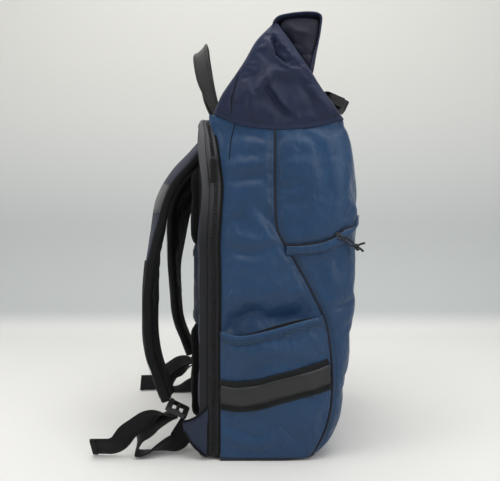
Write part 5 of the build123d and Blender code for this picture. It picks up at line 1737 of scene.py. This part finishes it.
def laminate_finish():
    """The panel's coated backing: fine canvas under a satin film."""
    m = Mat("solar_backing_film")
    u, v, _ = m.split(m.uv)
    canvas = ((u * 3600).sine() * (v * 3600).sine()) * 0.5 + 0.5
    wear = m.noise(m.object, 30.0, 5.0, 0.6)
    m.feed(Base_Color=m.mix(wear * 0.8 + canvas * 0.15, rgb(20, 21, 24), rgb(46, 48, 52)), Roughness=wear * 0.2 + 0.38,
           Coat_Weight=0.25, Coat_Roughness=0.25, Normal=m.bump(canvas + wear * 0.4, 0.25, 0.0003))
    return m.material


def cell_finish():
    """Single-crystal cells: near-black blue, silver fingers and busbars under a textured film."""
    m = Mat("solar_cell_silicon")
    u, v, _ = m.split(m.uv)
    fingers = (v / 0.0021).fract().ramp(0.86, 0.93)
    bars = ((u / 0.024 + 0.5).fract() - 0.5).absolute().ramp(0.04, 0.024)
    grain = m.noise(m.object, 55.0, 3.0, 0.6)
    dimples = m.noise(m.object, 900.0, 1.0)
    base = m.mix(grain, rgb(10, 14, 30), rgb(24, 32, 62))
    lines = (fingers * 0.35).larger(bars)
    m.feed(Base_Color=m.mix(lines, base, rgb(150, 152, 156)), Roughness=grain * 0.12 + 0.22, Metallic=bars * 0.6,
           Coat_Weight=0.7, Coat_Roughness=0.16, Normal=m.bump(dimples + lines * 0.4, 0.2, 0.0002))
    return m.material


LAMINATE, CELL = laminate_finish(), cell_finish()
grid = solar_face(SOLAR_LOW[0], SOLAR_HIGH[0], SOLAR_LOW[2], SOLAR_HIGH[2], 0.0004, 50, 50)
solar_backing = grid_object("solar_backing", grid, flat_map(grid), LAMINATE)
thickened(solar_backing, 0.0034)
modifier = solar_backing.modifiers.new("Bevel", "BEVEL")
modifier.width, modifier.segments, modifier.limit_method = 0.0008, 2, "ANGLE"
bake_modifiers(solar_backing)
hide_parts("solar_laminate")
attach(solar_backing, "bag")
cell_parts = []
cell_width = (SOLAR_HIGH[0] - SOLAR_LOW[0] - 2 * CELL_MARGIN - CELL_GAP) / 2
cell_height = (SOLAR_HIGH[2] - SOLAR_LOW[2] - 2 * CELL_MARGIN - 2 * CELL_GAP) / 3
for column in range(2):
    for row in range(3):
        x0 = SOLAR_LOW[0] + CELL_MARGIN + column * (cell_width + CELL_GAP)
        z0 = SOLAR_LOW[2] + CELL_MARGIN + row * (cell_height + CELL_GAP)
        grid = solar_face(x0, x0 + cell_width, z0, z0 + cell_height, 0.0008, 20, 16)
        cell = grid_object("cell", grid, flat_map(grid) - np.array([x0, z0]), CELL)
        cell_parts.append(thickened(cell, 0.0006))
solar_cell_set = joined("solar_cell_set", cell_parts)
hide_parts("solar_cells")
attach(solar_cell_set, "bag")
rings = []
EYELET_INSET = 0.0065
for x in (-1, 1):
    for z in (SOLAR_LOW[2] + EYELET_INSET, SOLAR_HIGH[2] - EYELET_INSET):
        middle = np.array([x * (SOLAR_HIGH[0] - EYELET_INSET), front_y(z) - 0.0054, z])
        ring = middle + 0.0038 * np.column_stack([np.cos(turn), np.zeros(40), np.sin(turn)])
        rings.append(tube("eyelet", ring, 0.0012, METAL, up=(0, 1, 0)))
solar_eyelet_rings = joined("solar_eyelet_rings", rings)
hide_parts("solar_eyelets")
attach(solar_eyelet_rings, "bag")
SEAM_INSET = 0.0028
lows, highs, wide = SOLAR_LOW[2] + SEAM_INSET, SOLAR_HIGH[2] - SEAM_INSET, SOLAR_HIGH[0] - SEAM_INSET
xs, zs = linspace(-wide, wide, 70), linspace(lows, highs, 60)
solar_threads = [np.column_stack([xs, front_y(z) - 0.0045 - 0.0012 * (1 - (xs / 0.093) ** 2), np.full(70, z)])
                 for z in (lows, highs)]
solar_threads += [np.column_stack([np.full(60, x), front_y(zs) - 0.0046, zs]) for x in (-wide, wide)]
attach(stitches("solar_stitches", solar_threads, pitch=0.0034), "bag")


# -------- sliders' pulls
PULL_LOW, PULL_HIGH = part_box("pocket_pull")


def cord_pull():
    """Two strands of cord from the slider's ring to a knot, with two cut ends past it."""
    x = PULL_LOW[0] * 0.5 + PULL_HIGH[0] * 0.5
    start = np.array([x, -0.0678, 0.252])
    knot = np.array([x - 0.0008, -0.0848, 0.2415])
    parts = []
    for lift in (-1, 1):
        points = [start + (knot - start) * k + np.array([0.0012, 0.0, 0.003]) * lift * sin(pi * k)
                  for k in linspace(0, 1, 5)]
        parts.append(tube("strand", smooth_line(points, 34), 0.0012, CORD))
    turn = linspace(0, 2 * pi, 46)
    wrap = knot + np.column_stack([
        0.0022 * np.cos(2 * turn), 0.0016 * np.sin(2 * turn) + 0.0014 * np.sin(turn),
        0.0024 * np.sin(turn) + 0.0012 * np.cos(2 * turn)])
    parts.append(tube("knot", wrap, 0.0015, CORD, up=(1, 0.2, 0)))
    for end in ((-0.0945, 0.2452), (-0.0928, 0.2358)):
        points = [knot, (knot + np.array([x - 0.0006, *end])) / 2 + np.array([-0.0004, 0, 0.0006]),
                  np.array([x - 0.001, *end])]
        parts.append(tube("stub", smooth_line(points, 14), 0.00125, CORD))
    ring_angles = linspace(0, 2 * pi, 30)
    ring = start + np.column_stack([
        0.0004 * np.sin(ring_angles), 0.0028 * np.cos(ring_angles) + 0.001, 0.0022 * np.sin(ring_angles)])
    parts.append(tube("ring", ring, 0.0008, METAL))
    return joined("pocket_pull_cord", parts)


pocket_pull_cord = cord_pull()
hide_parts("pocket_pull")
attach(pocket_pull_cord, "pocket_pull")

for side, word in SIDES:
    low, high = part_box(f"back_pull_{word}")
    x, y = (low[0] + high[0]) / 2, (low[1] + high[1]) / 2
    points = [(x, y, high[2]), (x + side * 0.0003, y, high[2] - 0.01), (x, y, low[2] + 0.001)]
    tab = ribbon("pull_strip", smooth_line(points, 26), linspace(0.005, 0.008, 26), 0.0018, WEBBING,
                 across=(0, 1, 0), belly=0.0002)
    loop = tube("loop", [
        (x + side * 0.0008 * cos(a), y + 0.003 * sin(a), high[2] + 0.0006 + 0.0022 * cos(a))
        for a in linspace(0, 2 * pi, 26)], 0.0007, METAL)
    tab = joined(f"back_pull_tab_{word}", [tab, loop])
    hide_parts(f"back_pull_{word}")
    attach(tab, f"pull_{word}")


# -------- inside the bag
def pocket_wall():
    """The front pocket's lining: its own sag and slack, sewn at its rim."""
    low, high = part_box("pocket_lining")
    xs, zs = (linspace(low[axis] + 0.0006, high[axis] - 0.0006, 60) for axis in (0, 2))
    grid = np.array([[(x, (low[1] + high[1]) / 2, z) for x in xs] for z in zs])
    obj = grid_object("pocket_lining_cloth", grid, flat_map(grid), LINING)
    flat = coords(obj)
    rim_far = np.minimum.reduce([flat[:, 0] - low[0], high[0] - flat[:, 0], flat[:, 2] - low[2], high[2] - flat[:, 2]])
    flat[:, 1] += 0.0012 * (rumple(flat, 16.0, 2.0) + 0.4) * step(rim_far, 0.0, 0.03)
    set_coords(obj, flat)
    thickened(obj, max(0.001, min(0.0016, high[1] - low[1])), 0.0)
    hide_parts("pocket_lining")
    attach(obj, "bag")


pocket_wall()


def sleeve_inside():
    """The padded sleeve for a computer: a front wall with a bound top edge, sewn to the lining behind."""
    low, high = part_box("laptop_sleeve")
    grid = spread(linspace(0, 1, 60), linspace(-1, 1, 64), lambda t, s: (
        s * (high[0] - 0.001), high[1] - 0.0008
        - (high[1] - low[1] - 0.0016) * (step(1 - abs(s), 0.0, 0.13) * step(t, 0.0, 0.05)),
        low[2] + (high[2] - low[2]) * t))
    obj = grid_object("computer_sleeve_cloth", grid, flat_map(grid), LINING)
    flat = coords(obj)
    away = np.clip(1 - np.abs(flat[:, 0]) / high[0], 0, 1)
    flat[:, 1] += 0.0012 * rumple(flat, 15.0, 12.0) * step(away, 0.05, 0.3)
    set_coords(obj, flat)
    thickened(obj, 0.0024, 1.0)
    top = rested([(x, low[1] - 0.02, high[2] - 0.001) for x in linspace(low[0] + 0.003, high[0] - 0.003, 120)], obj,
                 (0, 1, 0), -0.0008)
    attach(ribbon("computer_sleeve_binding", top, 0.01, 0.0036, BINDING, across=(0, 0, 1)), "back")
    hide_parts("laptop_sleeve")
    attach(obj, "back")


sleeve_inside()


def lining_panel():
    """The back panel's inner lining, cut to the rounded opening, its slack fading toward its sides and foot."""
    low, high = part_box("back_lining")
    y = (low[1] + high[1]) / 2
    grid = spread(linspace(low[2] + 0.0005, high[2] - 0.0005, 70), linspace(-1, 1, 60), lambda z, s: (
        s * (ring_half(z) - 0.001), y + (drawn(y, z) - y) * step(z, 0.33, 0.36), z))
    obj = grid_object("back_lining_cloth", grid, flat_map(grid), LINING)
    flat = coords(obj)
    edge = np.minimum(BAG_HALF - np.abs(flat[:, 0]), flat[:, 2] - low[2])
    flat[:, 1] -= 0.001 * (rumple(flat, 15.0, 6.0) + 0.5) * step(edge, 0.004, 0.03)
    set_coords(obj, flat)
    thickened(obj, 0.0012, 0.0)
    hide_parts("back_lining")
    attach(obj, "back")


lining_panel()


# -------- carried-over solid parts
FOAM = moulded("grey_foam", rgb(92, 92, 94), 0.85)
BOARD = moulded("fibre_board", rgb(38, 36, 34), 0.6)
SLOT_FINISH = {"board": BOARD, "foam": FOAM, "buckle_plastic": PLASTIC, "controller_plastic": PLASTIC,
               "zip_metal": METAL, "eyelet_metal": METAL, "zip_coil": COIL, "webbing": WEBBING, "lining": LINING,
               "mesh": MESH, "reflective_tape": TAPE, "piping": PIPING, "base_fabric": TRIM,
               "collar_fabric": NAVY, "body_fabric": BLUE, "back_fabric": BACK_NAVY, "strap_facing": FACING,
               "pull_cord": CORD, "zip_gusset": ZIP_TAPE, "solar_laminate": LAMINATE, "solar_cell": CELL}
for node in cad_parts.values():
    for slot in node.material_slots:
        if slot.material:
            slot.material = next((finish for key, finish in SLOT_FINISH.items() if slot.material.name.startswith(key)),
                                 slot.material)
